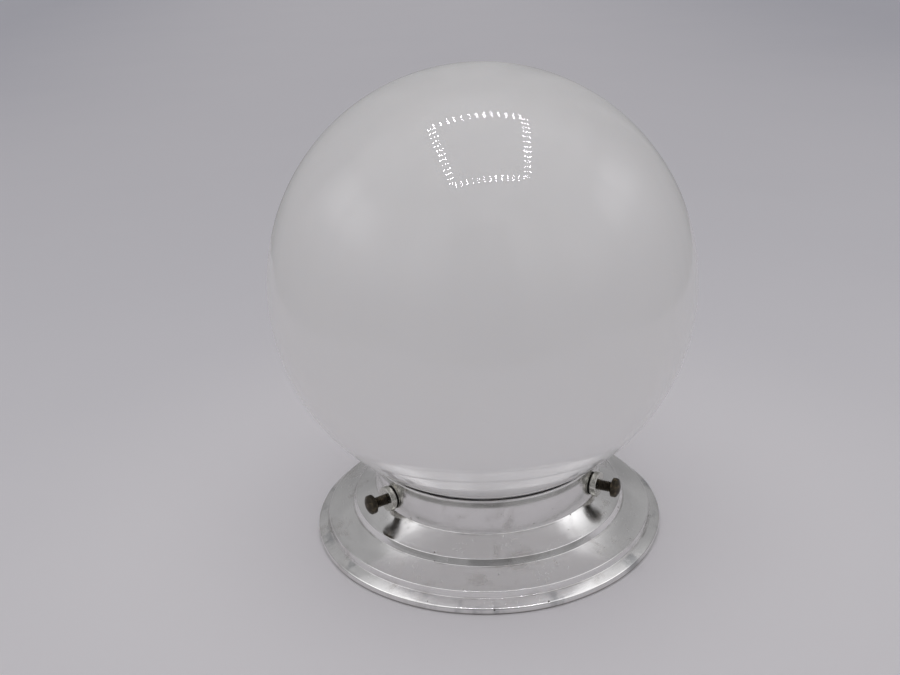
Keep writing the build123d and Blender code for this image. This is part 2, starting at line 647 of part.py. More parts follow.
def terminal_screws():
    """The two small screws that clamp the supply wires in the posts from below."""
    bottom = DIVIDER_BOTTOM - TERMINAL_LENGTH
    head = bottom + TERMINAL_SCREW_SUNK
    screw = disc(TERMINAL_SCREW_RADIUS, head, bottom + TERMINAL_SCREW_END)
    slot = Box(2 * TERMINAL_SCREW_RADIUS + OVERCUT, TERMINAL_SLOT_WIDTH, 2 * TERMINAL_SLOT_DEPTH)
    screw -= Pos(0, 0, head) * slot
    return [Pos(0, side * TERMINAL_Y, 0) * screw for side in (-1, 1)]


def lamp_contacts():
    pad = disc(LAMP_CONTACT_RADIUS, LAMP_BOTTOM, LAMP_BOTTOM + LAMP_CONTACT_HEIGHT)
    pad = fillet(pad.edges().group_by(Axis.Z)[0], LAMP_CONTACT_ROUND)
    return [Pos(0, side * CONTACT_Y, 0) * pad for side in (-1, 1)]


def lamp_cap_insulator():
    """The black glass button that closes the cap and carries the contacts."""
    bottom = LAMP_BOTTOM + LAMP_CONTACT_HEIGHT
    return disc(CAP_RADIUS - CAP_WALL - CAP_TURN_IN, bottom, bottom + CAP_INSULATOR_HEIGHT)


def lamp_cap_shell():
    """The thin brass cap, turned in at its bottom edge, with holes for the pins."""
    bottom = LAMP_BOTTOM + LAMP_CONTACT_HEIGHT + CAP_EDGE_RISE
    inner = CAP_RADIUS - CAP_WALL
    flare = CAP_RADIUS + CAP_FLARE
    flare_start = CAP_TOP - CAP_FLARE_START
    flare_end = CAP_TOP - CAP_FLARE_END
    section = polygon(
        (inner - CAP_TURN_IN, bottom),
        (CAP_RADIUS - CAP_CORNER_INSET, bottom),
        (CAP_RADIUS, bottom + CAP_CORNER_HEIGHT),
        (CAP_RADIUS, flare_start),
        (flare, flare_end),
        (flare, CAP_TOP),
        (flare - CAP_WALL, CAP_TOP),
        (flare - CAP_WALL, flare_end + CAP_FLARE_INSIDE_RISE),
        (inner, flare_start + CAP_FLARE_INSIDE_RISE),
        (inner, bottom + CAP_TURN_IN_HEIGHT),
        (inner - CAP_TURN_IN, bottom + CAP_TURN_IN_HEIGHT),
    )
    shell = spin(section)
    return shell - Pos(0, 0, PIN_Z) * Rot(0, 90, 0) * Cylinder(PIN_RADIUS, 4 * CAP_RADIUS)


def lamp_pins():
    length = PIN_REACH - CAP_RADIUS + CAP_WALL
    pin = Cylinder(PIN_RADIUS, length, align=(Align.CENTER, Align.CENTER, Align.MIN))
    pin = fillet(pin.edges().group_by(Axis.Z)[-1], PIN_ROUND)
    turned = Pos(CAP_RADIUS - CAP_WALL, 0, PIN_Z) * Rot(0, 90, 0) * pin
    return [turned, Rot(0, 0, 180) * turned]


def bulb_outline(inset):
    """The lamp's pear shape from its crown to the neck in the cap, moved in by inset."""
    radius = BULB_RADIUS - inset
    neck = BULB_NECK_RADIUS - inset
    seat = BULB_NECK_INSIDE - inset
    join_angle = radians(-BULB_JOIN_ANGLE)
    join = (radius * cos(join_angle), BULB_CENTRE_Z + radius * sin(join_angle))
    crown = CenterArc((0, BULB_CENTRE_Z), radius, -BULB_JOIN_ANGLE, 90 + BULB_JOIN_ANGLE)
    shoulder = TangentArc(join, (neck, BULB_NECK_Z), tangent=(sin(join_angle), -cos(join_angle)))
    tail = Spline((neck, BULB_NECK_Z), (seat, BULB_SEAT_Z), tangents=[shoulder % 1, (0, -1)])
    return crown, shoulder, tail, (seat, BULB_SEAT_Z), (0, BULB_CENTRE_Z + radius)


def lamp_envelope():
    """The blown glass bulb, whose neck is cemented inside the cap."""
    parts = []
    for inset in (0, BULB_GLASS):
        crown, shoulder, tail, seat, top = bulb_outline(inset)
        base = Line(seat, (seat[0], BULB_FOOT_Z))
        floor = Line((seat[0], BULB_FOOT_Z), (0, BULB_FOOT_Z))
        axis = Line((0, BULB_FOOT_Z), top)
        parts.append(spin(make_face([crown, shoulder, tail, base, floor, axis])))
    return parts[0] - parts[1]


def lamp_stem():
    """The glass mount: a flared foot sealed to the neck, a pinched press and a support rod."""
    stem_radius = BULB_NECK_INSIDE - BULB_GLASS - STEM_GAP
    section = polygon(
        (0, STEM_FOOT_Z),
        (stem_radius, STEM_FOOT_Z),
        (stem_radius, STEM_FOOT_Z + STEM_FOOT_THICKNESS),
        (STEM_CONE_RADIUS, STEM_FOOT_Z + STEM_CONE_HEIGHT),
        (STEM_NECK_RADIUS, PRESS_BOTTOM),
        (0, PRESS_BOTTOM),
    )
    press = Box(PRESS_LENGTH, PRESS_THICKNESS, PRESS_HEIGHT, align=(Align.CENTER, Align.CENTER, Align.MIN))
    press = fillet(press.edges().filter_by(Axis.Z), PRESS_ROUND)
    rod = disc(ROD_RADIUS, PRESS_BOTTOM + PRESS_HEIGHT, STEM_TOP)
    button = Pos(0, 0, STEM_TOP + BUTTON_RISE) * Sphere(BUTTON_RADIUS)
    return spin(section) + Pos(0, 0, PRESS_BOTTOM) * press + rod + button


def wire(radius, *points):
    """A round wire along straight runs."""
    path = Polyline(*points)
    return sweep(Plane(origin=path @ 0, z_dir=path % 0) * Circle(radius), path, transition=Transition.ROUND)


def lamp_leads():
    """The two leads from the press to the filament's ends."""
    leads = []
    start_z = PRESS_BOTTOM + PRESS_HEIGHT + LEAD_START_GAP
    for side in (-1, 1):
        start = (side * LEAD_START_X, 0, start_z)
        knee = (side * LEAD_KNEE_X, 0, LEAD_KNEE_Z)
        end = (side * FILAMENT_SPAN, 0, FILAMENT_Z + LEAD_END_RISE)
        leads.append(wire(LEAD_RADIUS, start, knee, end))
    return leads


def lamp_supports():
    """The thin hooks from the rod's button that hold the filament between its ends."""
    supports = []
    for angle in SUPPORT_ANGLES:
        across, along = cos(radians(angle)), sin(radians(angle))
        start = (BUTTON_RADIUS * across, BUTTON_RADIUS * along, STEM_TOP + BUTTON_RISE)
        end_z = FILAMENT_Z - FILAMENT_RADIUS - SUPPORT_GAP
        supports.append(wire(SUPPORT_RADIUS, start, (SUPPORT_REACH * across, SUPPORT_REACH * along, end_z)))
    return supports


def lamp_filament():
    """A coiled filament, as one thin round, bowed between the two leads over the supports."""
    end_angle = radians(FILAMENT_END_ANGLE)
    start = (FILAMENT_SPAN * cos(end_angle), FILAMENT_SPAN * sin(end_angle), FILAMENT_Z)
    end = (-start[0], start[1], FILAMENT_Z)
    bow = ThreePointArc(start, (0, FILAMENT_SPAN, FILAMENT_Z), end)
    return sweep(Plane(origin=bow @ 0, z_dir=bow % 0) * Circle(FILAMENT_RADIUS), bow)


def write(name, shape):
    solids = shape if isinstance(shape, list) else [shape]
    body = solids[0] if len(solids) == 1 else Compound(children=solids)
    export_step(body, f"parts/{name}.step")


def build():
    os.makedirs("parts", exist_ok=True)
    write("gallery", gallery())
    write("opal_globe", opal_globe())
    for name, azimuth in SCREW_AZIMUTHS.items():
        write(f"screw_bush_{name}", radial(screw_bush(), azimuth, SCREW_Z))
        write(f"gallery_screw_{name}", radial(gallery_screw(), azimuth, SCREW_Z))
    write("back_strap", back_strap())
    write("strap_screws", strap_screws())
    write("strap_nuts", strap_nuts())
    write("earth_screw", earth_screw())
    write("earth_washer", earth_washer())
    write("holder_nipple", holder_nipple())
    write("holder_locknut", holder_locknut())
    write("holder_cap", holder_cap())
    write("holder_divider", holder_divider())
    write("holder_skirt", holder_skirt())
    write("holder_ring", holder_ring())
    for name, side in (("front", -1), ("back", 1)):
        write(f"plunger_{name}", plunger(side))
        write(f"plunger_spring_{name}", plunger_spring(side))
        write(f"terminal_{name}", terminal(side))
    write("terminal_screws", terminal_screws())
    write("lamp_contacts", lamp_contacts())
    write("lamp_cap_insulator", lamp_cap_insulator())
    write("lamp_cap_shell", lamp_cap_shell())
    write("lamp_pins", lamp_pins())
    write("lamp_envelope", lamp_envelope())
    write("lamp_stem", lamp_stem())
    write("lamp_leads", lamp_leads())
    write("lamp_supports", lamp_supports())
    write("lamp_filament", lamp_filament())


build()
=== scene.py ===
import json
import math

import bpy
import bmesh
import numpy as np
from mathutils import Matrix, Quaternion, Vector


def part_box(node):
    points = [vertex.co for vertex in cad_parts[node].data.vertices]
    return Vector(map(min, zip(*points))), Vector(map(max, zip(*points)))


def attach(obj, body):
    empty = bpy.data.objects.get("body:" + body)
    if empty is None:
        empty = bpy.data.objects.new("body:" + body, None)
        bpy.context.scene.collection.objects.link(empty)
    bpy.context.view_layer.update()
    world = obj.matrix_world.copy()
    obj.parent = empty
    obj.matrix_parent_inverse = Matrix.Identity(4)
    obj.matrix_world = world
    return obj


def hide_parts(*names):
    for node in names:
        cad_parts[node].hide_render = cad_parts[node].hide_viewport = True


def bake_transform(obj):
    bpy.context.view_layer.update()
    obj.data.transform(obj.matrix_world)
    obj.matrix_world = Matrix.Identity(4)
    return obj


# The looks of a globe ceiling light: an opal glass globe in a stepped, polished aluminium gallery.
# It stands on the gallery's rim. Outlines and meshes are in millimetres, as the thing is measured,
# and new_piece() turns them to metres. Materials, lights and the camera are in metres.

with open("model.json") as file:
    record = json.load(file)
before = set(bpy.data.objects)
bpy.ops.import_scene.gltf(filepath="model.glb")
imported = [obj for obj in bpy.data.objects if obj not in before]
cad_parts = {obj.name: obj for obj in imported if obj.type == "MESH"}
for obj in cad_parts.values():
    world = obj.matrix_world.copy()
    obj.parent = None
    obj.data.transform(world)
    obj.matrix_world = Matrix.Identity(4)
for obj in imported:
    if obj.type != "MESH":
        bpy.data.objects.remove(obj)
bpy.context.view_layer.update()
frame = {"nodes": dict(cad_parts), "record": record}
MM = 0.001
FULL_TURN = 2 * math.pi
WELD_DISTANCE = 1e-7
SHARP_ANGLE = 35.0
TOUCHING = 1e-6

# ---- gallery: a pair here is a point's radius and height ----------------------------------------
RIM_RADIUS = 88.0
RIM_HEIGHT = 3.0
RIM_LAND = 3.4
RIM_CROWN = (85.3, 4.25)
BAND_TOP = (82.7, 5.3)
STEP_ONE = (82.1, 8.3)
SLOPE_ONE = (75.5, 10.3)
SLOPE_END = (69.1, 13.1)
STEP_TWO = (67.9, 16.2)
SLOPE_TWO = (62.2, 19.3)
COVE = (56.9, 22.9)
COLLAR_RADIUS = 56.9
COLLAR_BORE = 54.7
FLARE_START = 35.6
LIP_RADIUS = 58.6
LIP_TOP = 41.0
LIP_THICKNESS = 1.5
SHELL = 2.3
LEDGE_TOP = 22.2
LEDGE_BOTTOM = 20.0
LEDGE_HOLE_RADIUS = 37.0
STRAP_SCREW_X = 42.0
STRAP_HOLE = 2.15
STRAP_HEAD = 3.8

# Where holes are cut from and to: heights for the strap's screws, distances from the axis for bushes.
STRAP_CUT = (15.0, 23.0)
BUSH_CUT = (50.0, 62.0)

# The inside's corners are the shell's thickness in from the outside's, at these heights. Each of its
# slopes also has a middle, as radius and height.
INSIDE_SLOPE_TWO = (60.2, 16.6)
INSIDE_STEP_TWO_Z = 13.9
INSIDE_SLOPE_END_Z = 10.8
INSIDE_SLOPE_ONE = (73.6, 8.1)
INSIDE_STEP_ONE_Z = 6.2
INSIDE_BAND_Z = 3.4
INSIDE_LAND_Z = 1.4

# How much each kind of corner is rounded.
RIM_ROUND = 1.0
EDGE_ROUND = 0.6
STEP_ROUND = 0.5
CREASE_ROUND = 0.4
LIP_INNER_ROUND = 0.3
LAND_ROUND = 0.2
ROOT_ROUND = 0.8

# The rim's waves: how many go round, how deep they are, and the angle at which they start.
RIM_WAVES = ((2, 0.20, 0.6), (5, 0.11, 2.0), (11, 0.06, 4.1))

# The radii where painted shade, mixed with dirt, darkens the foot of a wall, and where handling has burnished
# an edge.
CREASE_SHADE_RINGS = (83.0, 69.4, 57.4)
EDGE_RINGS = (81.9, 67.7, 87.7)

# How far from the outline's own lines a face still counts as on this or that side of them, and the
# height of a face's normal under which it faces down.
BORE_MARGIN = 0.2
LEDGE_MARGIN = 0.5
COLLAR_MARGIN = 0.1
FOOT_MARGIN = 0.3
RIM_MARGIN = 1.5
FACES_DOWN = -0.05

# The lengths of the mesh's steps along the outline, and its steps round the axis.
POLISHED_STEP = 1.1
CAST_STEP = 2.5
GALLERY_SEGMENTS = 360
CUTTER_SEGMENTS = 48

# ---- globe --------------------------------------------------------------------------------------
GLASS = 3.0
NECK_RADIUS = 50.5
NECK_FILLET = 9.0
GLASS_LIP_RADIUS = 53.9
GLASS_LIP_BOTTOM = 22.5
GLASS_LIP_TOP = 24.2
GLASS_FLARE_TOP = 27.0
GLASS_LIP_ROUND = 0.8
GLASS_FLARE_ROUND = 1.5
GLOBE_HEIGHT_SHARE = 103.2 / 101.6
GLOBE_STEP_ANGLE = 1.6
GLASS_STEP = 1.5
GLASS_FLARE_STEP = 1.0
GLASS_NECK_STEP = 2.0
GLOBE_SEGMENTS = 256

# ---- thumb screws, measured outwards from the globe's axis ---------------------------------------
SCREW_Z = 29.5
SCREW_AZIMUTHS = {"left": -150.0, "right": -30.0, "rear": 90.0}
SCREW_TIP = 54.4
HEAD_FACE = 67.2
HEAD_RADIUS = 4.7
HEAD_RIM = 2.2
HEAD_DOME = 1.7
THREAD_RADIUS = 2.6
THREAD_DEPTH = 0.45
THREAD_PITCH = 0.9
THREAD_FLAT = 1.15
THREAD_FLANK = 2.6
THREAD_RUNOUT = 0.5
POINT_LENGTH = 1.2
POINT_INSET = 0.75
HEAD_OVERLAP = 0.4
HEAD_ROUND = 0.4
HEAD_FACE_STEP = 0.8
HEAD_RIM_STEP = 0.25
HEAD_DOME_STEP = 0.35
KNURL_FLUTES = 30
KNURL_DEPTH = 0.2
KNURL_BAND = 0.5
KNURL_RUNOUT = 1.15
FLUTE_GAIN = 1.4
FLUTE_SHIFT = -0.2
FLUTE_STEPS = 8
SPIGOT_RADIUS = 4.0
THREAD_ROWS = 180
THREAD_SEGMENTS = 48

# ---- plunger springs ----------------------------------------------------------------------------
SPRING_WIRE = 0.26
SPRING_TURNS = 4.5
SPRING_CLOSING = 0.5
SPRING_RINGS = 160
SPRING_SEGMENTS = 12


# ==================================================================================================
# Outlines and meshes
# ==================================================================================================

def line(start, end, step=None):
    """Points from start to end, about step apart."""
    start, end = np.array(start, float), np.array(end, float)
    count = 1 if step is None else max(1, round(np.linalg.norm(end - start) / step))
    return start + np.linspace(0, 1, count + 1)[:, None] * (end - start)


def arc(start, middle, end, step):
    """Points about step apart on the circular arc through three points."""
    a, b, c = (complex(*point) for point in (start, middle, end))
    ratio = (c - a) / (b - a)
    centre = (a - b) * (ratio - abs(ratio) ** 2) / (2j * ratio.imag) - a
    spoke_start, spoke_end = a + centre, c + centre
    turn = np.angle(spoke_end / spoke_start)
    count = max(2, round(abs(turn) * abs(spoke_start) / step))
    spokes = spoke_start * np.exp(1j * turn * np.linspace(0, 1, count + 1)) - centre
    return np.column_stack([spokes.real, spokes.imag])


def shortened(points, cut_start, cut_end):
    """The same stretch with a length cut off each of its ends."""
    reach = np.concatenate([[0.0], np.cumsum(np.linalg.norm(np.diff(points, axis=0), axis=1))])
    low, high = cut_start, reach[-1] - cut_end
    inner = reach[(reach > low + TOUCHING) & (reach < high - TOUCHING)]
    at = np.concatenate([[low], inner, [high]])
    return np.column_stack([np.interp(at, reach, points[:, axis]) for axis in (0, 1)])


def corner_angle(here, ahead):
    """How far the outline turns where one stretch meets the next."""
    arriving = complex(*(here[-1] - here[-2]))
    leaving = complex(*(ahead[1] - ahead[0]))
    return abs(np.angle(leaving / arriving))


def fillet(start, corner, end, turn, steps=5):
    """The arc that rounds a corner between two points at the same distance from it."""
    share = np.linspace(0, 1, steps + 1)[1:-1, None]
    weight = math.cos(turn / 2)
    blend = (1 - share) ** 2, 2 * weight * share * (1 - share), share**2
    return (blend[0] * start + blend[1] * corner + blend[2] * end) / sum(blend)


def outline(*stretches, closed):
    """One outline from (points, rounding radius at their end) pairs that meet end to start."""
    runs = [np.array(points, float) for points, _ in stretches]
    ahead = runs[1:] + runs[:1]
    turns = [corner_angle(run, following) for run, following in zip(runs, ahead)]
    cuts = [radius * math.tan(turn / 2) for (_, radius), turn in zip(stretches, turns)]
    cut_runs = [shortened(run, cuts[i - 1], cuts[i]) for i, run in enumerate(runs)]
    made = []
    for i, run in enumerate(cut_runs):
        made.extend(run if cuts[i] > 0 else run[:-1])
        if cuts[i] > 0:
            following = cut_runs[(i + 1) % len(runs)]
            made.extend(fillet(run[-1], runs[i][-1], following[0], turns[i]))
    if not closed:
        made.append(runs[-1][-1])
    return np.array(made)


def shade(mesh):
    """Smooth shading that keeps real edges crisp."""
    mesh.shade_smooth()
    mesh.set_sharp_from_angle(angle=math.radians(SHARP_ANGLE))


def new_piece(name, vertices, faces, materials):
    """A smooth-shaded piece from vertices in millimetres, which it turns to metres."""
    mesh = bpy.data.meshes.new(name)
    mesh.from_pydata((np.asarray(vertices) * MM).tolist(), [], faces)
    work = bmesh.new()
    work.from_mesh(mesh)
    bmesh.ops.remove_doubles(work, verts=work.verts, dist=WELD_DISTANCE)
    bmesh.ops.recalc_face_normals(work, faces=work.faces)
    work.to_mesh(mesh)
    work.free()
    for material in materials:
        mesh.materials.append(material)
    shade(mesh)
    piece = bpy.data.objects.new(name, mesh)
    bpy.context.scene.collection.objects.link(piece)
    return piece


def put_on(piece, body):
    """Makes a piece move with a body."""
    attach(piece, body)


def ring_faces(rows, segments, closed):
    """Quads between the rows of a swept outline. The last row meets the first if it is closed."""
    faces = []
    for row in range(rows if closed else rows - 1):
        here = row * segments
        above = (row + 1) % rows * segments
        for turn in range(segments):
            beside = (turn + 1) % segments
            faces.append((here + turn, here + beside, above + beside, above + turn))
    return faces


def end_faces(rows, segments):
    """The two faces that close an open sweep at its first and its last row."""
    first = tuple(range(segments))[::-1]
    last = tuple((rows - 1) * segments + turn for turn in range(segments))
    return [first, last]


def swept(points, segments, shape=None):
    """Vertices of an outline turned round the Z axis. shape may change radius and height by angle."""
    turn = np.arange(segments) / segments * FULL_TURN
    radius = np.repeat(points[:, :1], segments, axis=1)
    height = np.repeat(points[:, 1:], segments, axis=1)
    if shape:
        radius, height = shape(radius, height, turn)
    return np.stack([radius * np.cos(turn), radius * np.sin(turn), height], axis=-1).reshape(-1, 3)


# ==================================================================================================
# Materials
# ==================================================================================================

def add(tree, kind, inputs=None, **settings):
    """A shader node with its settings, and with values or links on its inputs."""
    node = tree.nodes.new(kind)
    for name, value in settings.items():
        setattr(node, name, value)
    for name, value in (inputs or {}).items():
        if isinstance(value, bpy.types.NodeSocket):
            tree.links.new(value, node.inputs[name])
        else:
            node.inputs[name].default_value = value
    return node


def maths(tree, operation, *values):
    """The result of one arithmetic node."""
    node = add(tree, "ShaderNodeMath", dict(enumerate(values)), operation=operation)
    return node.outputs["Value"]


def place(tree):
    """The point being shaded, in the light's own frame, which moves with its body."""
    return add(tree, "ShaderNodeTexCoord").outputs["Object"]


def stretched(tree, vector, scale):
    """The same vector with each axis scaled by its own amount."""
    node = add(tree, "ShaderNodeMapping", {"Vector": vector, "Scale": scale})
    return node.outputs["Vector"]


def turned(tree, vector, rotation, scale):
    """The same vector turned, and then scaled axis by axis."""
    node = add(tree, "ShaderNodeMapping", {"Vector": vector, "Rotation": rotation, "Scale": scale})
    return node.outputs["Vector"]


def cloud(tree, vector, scale, detail=3.0, roughness=0.55, distortion=0.0):
    """Soft noise from 0 to 1."""
    pattern = {"Detail": detail, "Roughness": roughness, "Distortion": distortion}
    node = add(tree, "ShaderNodeTexNoise", {"Vector": vector, "Scale": scale, **pattern})
    return node.outputs["Fac"]


def stepped(tree, value, low, high, out_low=0.0, out_high=1.0):
    """A smooth change from out_low to out_high while value goes from low to high."""
    limits = {"From Min": low, "From Max": high, "To Min": out_low, "To Max": out_high}
    node = add(tree, "ShaderNodeMapRange", {"Value": value, **limits}, interpolation_type="SMOOTHSTEP")
    return node.outputs["Result"]


def mixed(tree, share, first, second):
    """Two colours mixed by share, from first at 0 to second at 1."""
    node = tree.nodes.new("ShaderNodeMix")
    node.data_type = "RGBA"
    for identifier, value in (("Factor_Float", share), ("A_Color", first), ("B_Color", second)):
        socket = next(s for s in node.inputs if s.identifier == identifier)
        if isinstance(value, bpy.types.NodeSocket):
            tree.links.new(value, socket)
        else:
            socket.default_value = value
    return next(s for s in node.outputs if s.identifier == "Result_Color")


def bumped(tree, height, strength, distance, normal=None):
    """A normal tilted by a height pattern. Distance is the pattern's depth in metres."""
    inputs = {"Height": height, "Strength": strength, "Distance": distance}
    if normal is not None:
        inputs["Normal"] = normal
    return add(tree, "ShaderNodeBump", inputs).outputs["Normal"]


def grey(value, warm=0.0):
    """A near grey, tinted a little yellow by warm."""
    return (value * (1 + warm), value, value * (1 - warm), 1.0)


def darker(colour, share):
    """The same colour with that share of its brightness."""
    return [channel * share for channel in colour[:3]] + [1.0]


def highest(tree, values):
    """The highest of several values."""
    result = values[0]
    for value in values[1:]:
        result = maths(tree, "MAXIMUM", result, value)
    return result


def scaled(tree, value, share):
    """A value times a share."""
    return maths(tree, "MULTIPLY", value, share)


def surface(tree, shader, colour, roughness, normal):
    """Joins a pattern of colour, of roughness and of normals to the shader."""
    tree.links.new(colour, shader.inputs["Base Color"])
    tree.links.new(roughness, shader.inputs["Roughness"])
    tree.links.new(normal, shader.inputs["Normal"])


def new_material(name):
    """An empty material with its node tree and its shader."""
    material = bpy.data.materials.new(name)
    material.use_nodes = True
    tree = material.node_tree
    return material, tree, tree.nodes["Principled BSDF"]


def round_places(tree, vector):
    """A vector of distance from the Z axis, height and angle, for marks that run round the axis."""
    parts = add(tree, "ShaderNodeSeparateXYZ", {"Vector": vector})
    x, y, z = (parts.outputs[axis] for axis in "XYZ")
    squares = maths(tree, "ADD", maths(tree, "MULTIPLY", x, x), maths(tree, "MULTIPLY", y, y))
    distance = maths(tree, "SQRT", squares)
    angle = maths(tree, "ARCTAN2", y, x)
    joined = add(tree, "ShaderNodeCombineXYZ", {"X": distance, "Y": z, "Z": angle})
    return joined.outputs["Vector"], distance, z


def on_rings(tree, distance, radii, reach, core):
    """1 within core of any circle round the Z axis with these radii in millimetres, 0 past reach."""
    rings = []
    for radius in radii:
        off = maths(tree, "ABSOLUTE", maths(tree, "SUBTRACT", distance, radius * MM))
        rings.append(stepped(tree, off, reach, core))
    return highest(tree, rings)


def speckles(tree, vector, scale, size, share):
    """Sparse round spots from 0 to 1: cells of a grid, of which a share hold a spot."""
    cells = add(tree, "ShaderNodeTexVoronoi", {"Vector": vector, "Scale": scale, "Randomness": 1.0})
    core = size * 0.45
    spot = stepped(tree, cells.outputs["Distance"], size, core)
    picked = add(tree, "ShaderNodeSeparateColor", {"Color": cells.outputs["Color"]}).outputs["Red"]
    return maths(tree, "MULTIPLY", spot, maths(tree, "LESS_THAN", picked, share))


def scratches(tree, vector, rotation, share):
    """Thin straight scratches along one direction, broken into short lengths."""
    thin_and_long = (2600.0, 40.0, 2600.0)
    short_lengths = (90.0, 50.0, 90.0)
    lines = cloud(tree, turned(tree, vector, rotation, thin_and_long), 1.0, detail=0.0)
    broken = cloud(tree, turned(tree, vector, rotation, short_lengths), 1.0, detail=1.0)
    thin = stepped(tree, lines, 0.74, 0.80)
    return maths(tree, "MULTIPLY", thin, stepped(tree, broken, 1.0 - share, 1.05 - share))


def painted_shade_and_grime(tree, at, distance, height):
    """Painted shade mixed with dirt, in patches at the foot of each wall, and a painted contact shadow along
    the rim's foot.
    """
    patchy = stepped(tree, cloud(tree, at, 70.0, detail=3.0), 0.42, 0.66, 0.05, 0.38)
    # Painted shade with dirt in the creases at each wall's foot, then a painted contact shadow in the lowest
    # millimetre of the rim.
    crevice_shade_and_dirt = maths(tree, "MULTIPLY", on_rings(tree, distance, CREASE_SHADE_RINGS, 0.0006, 0.0002), patchy)
    painted_contact_shadow = stepped(tree, height, 0.0011, 0.0004, 0.0, 0.8)
    return maths(tree, "MAXIMUM", crevice_shade_and_dirt, painted_contact_shadow)


def rim_painted_shade(tree, at, distance):
    """Painted shade in soft patches on the rim's crown, outside the first step."""
    shade_patches = cloud(tree, stretched(tree, at, (60.0, 60.0, 15.0)), 1.0, detail=4.0, roughness=0.6)
    on_band = stepped(tree, distance, 0.0828, 0.0838)
    return maths(tree, "MULTIPLY", on_band, stepped(tree, shade_patches, 0.50, 0.66, 0.0, 0.6))


def polished_aluminium():
    """Hand-polished cast aluminium: spin lines, dull patches, scratches and small casting pits, with painted
    shade in patches on the rim's crown, painted shade mixed with dirt at the foot of each wall and a painted
    contact shadow along the rim's foot.
    """
    material, tree, shader = new_material("polished_aluminium")
    at = place(tree)
    rounds, distance, height = round_places(tree, at)
    rings = cloud(tree, stretched(tree, rounds, (2400.0, 2400.0, 1.6)), 1.0, detail=2.0)
    fine_rings = cloud(tree, stretched(tree, rounds, (7000.0, 7000.0, 6.0)), 1.0, detail=1.0)
    patches = cloud(tree, at, 55.0, detail=4.0, roughness=0.6, distortion=0.4)
    uneven = cloud(tree, at, 90.0, detail=2.0)
    pits = highest(tree, [speckles(tree, at, 160.0, 0.10, 0.10), speckles(tree, at, 420.0, 0.16, 0.05)])
    one_way = scratches(tree, at, (0.3, 0.2, 0.9), 0.42)
    other_way = scratches(tree, at, (1.1, -0.4, -0.5), 0.40)
    marks = highest(tree, [one_way, other_way])

    colour = mixed(tree, rings, grey(0.82, 0.008), grey(0.89, 0.008))
    colour = mixed(tree, stepped(tree, patches, 0.52, 0.72), colour, grey(0.69, 0.02))
    # Painted shade in soft patches on the rim's crown.
    colour = mixed(tree, rim_painted_shade(tree, at, distance), colour, grey(0.34, -0.04))
    # Painted shade mixed with dirt at the foot of each wall, and a painted contact shadow along the rim's
    # foot.
    colour = mixed(tree, painted_shade_and_grime(tree, at, distance, height), colour, grey(0.16, 0.10))
    colour = mixed(tree, pits, colour, grey(0.10, 0.12))
    colour = mixed(tree, scaled(tree, marks, 0.35), colour, grey(0.5))

    burnished = on_rings(tree, distance, EDGE_RINGS, 0.0012, 0.0005)
    rough = stepped(tree, patches, 0.35, 0.75, 0.12, 0.28)
    rough = maths(tree, "MULTIPLY", rough, maths(tree, "SUBTRACT", 1.0, scaled(tree, burnished, 0.65)))
    rough = maths(tree, "ADD", rough, scaled(tree, rings, 0.05))
    rough = maths(tree, "ADD", rough, scaled(tree, highest(tree, [pits, marks]), 0.3))

    normal = bumped(tree, uneven, 0.5, 0.00012)
    normal = bumped(tree, rings, 0.22, 0.00001, normal)
    normal = bumped(tree, fine_rings, 0.18, 0.000005, normal)
    holes = scaled(tree, highest(tree, [pits, scaled(tree, marks, 0.2)]), -1.0)
    normal = bumped(tree, holes, 0.8, 0.0002, normal)
    surface(tree, shader, colour, rough, normal)
    shader.inputs["Metallic"].default_value = 1.0
    return material


def cast_aluminium():
    """The gallery's unpolished inside: dull grey, grainy from the mould, with darker stains."""
    material, tree, shader = new_material("cast_aluminium")
    at = place(tree)
    grain = cloud(tree, at, 1300.0, detail=3.0, roughness=0.65)
    lumps = cloud(tree, at, 240.0, detail=3.0)
    stains = cloud(tree, at, 35.0, detail=4.0, distortion=0.6)
    colour = mixed(tree, grain, grey(0.36, 0.02), grey(0.55, 0.015))
    colour = mixed(tree, stepped(tree, stains, 0.45, 0.7), colour, grey(0.30, 0.08))
    rough = stepped(tree, grain, 0.3, 0.7, 0.48, 0.66)
    normal = bumped(tree, lumps, 0.6, 0.0003)
    normal = bumped(tree, grain, 0.7, 0.00012, normal)
    surface(tree, shader, colour, rough, normal)
    shader.inputs["Metallic"].default_value = 0.9
    return material


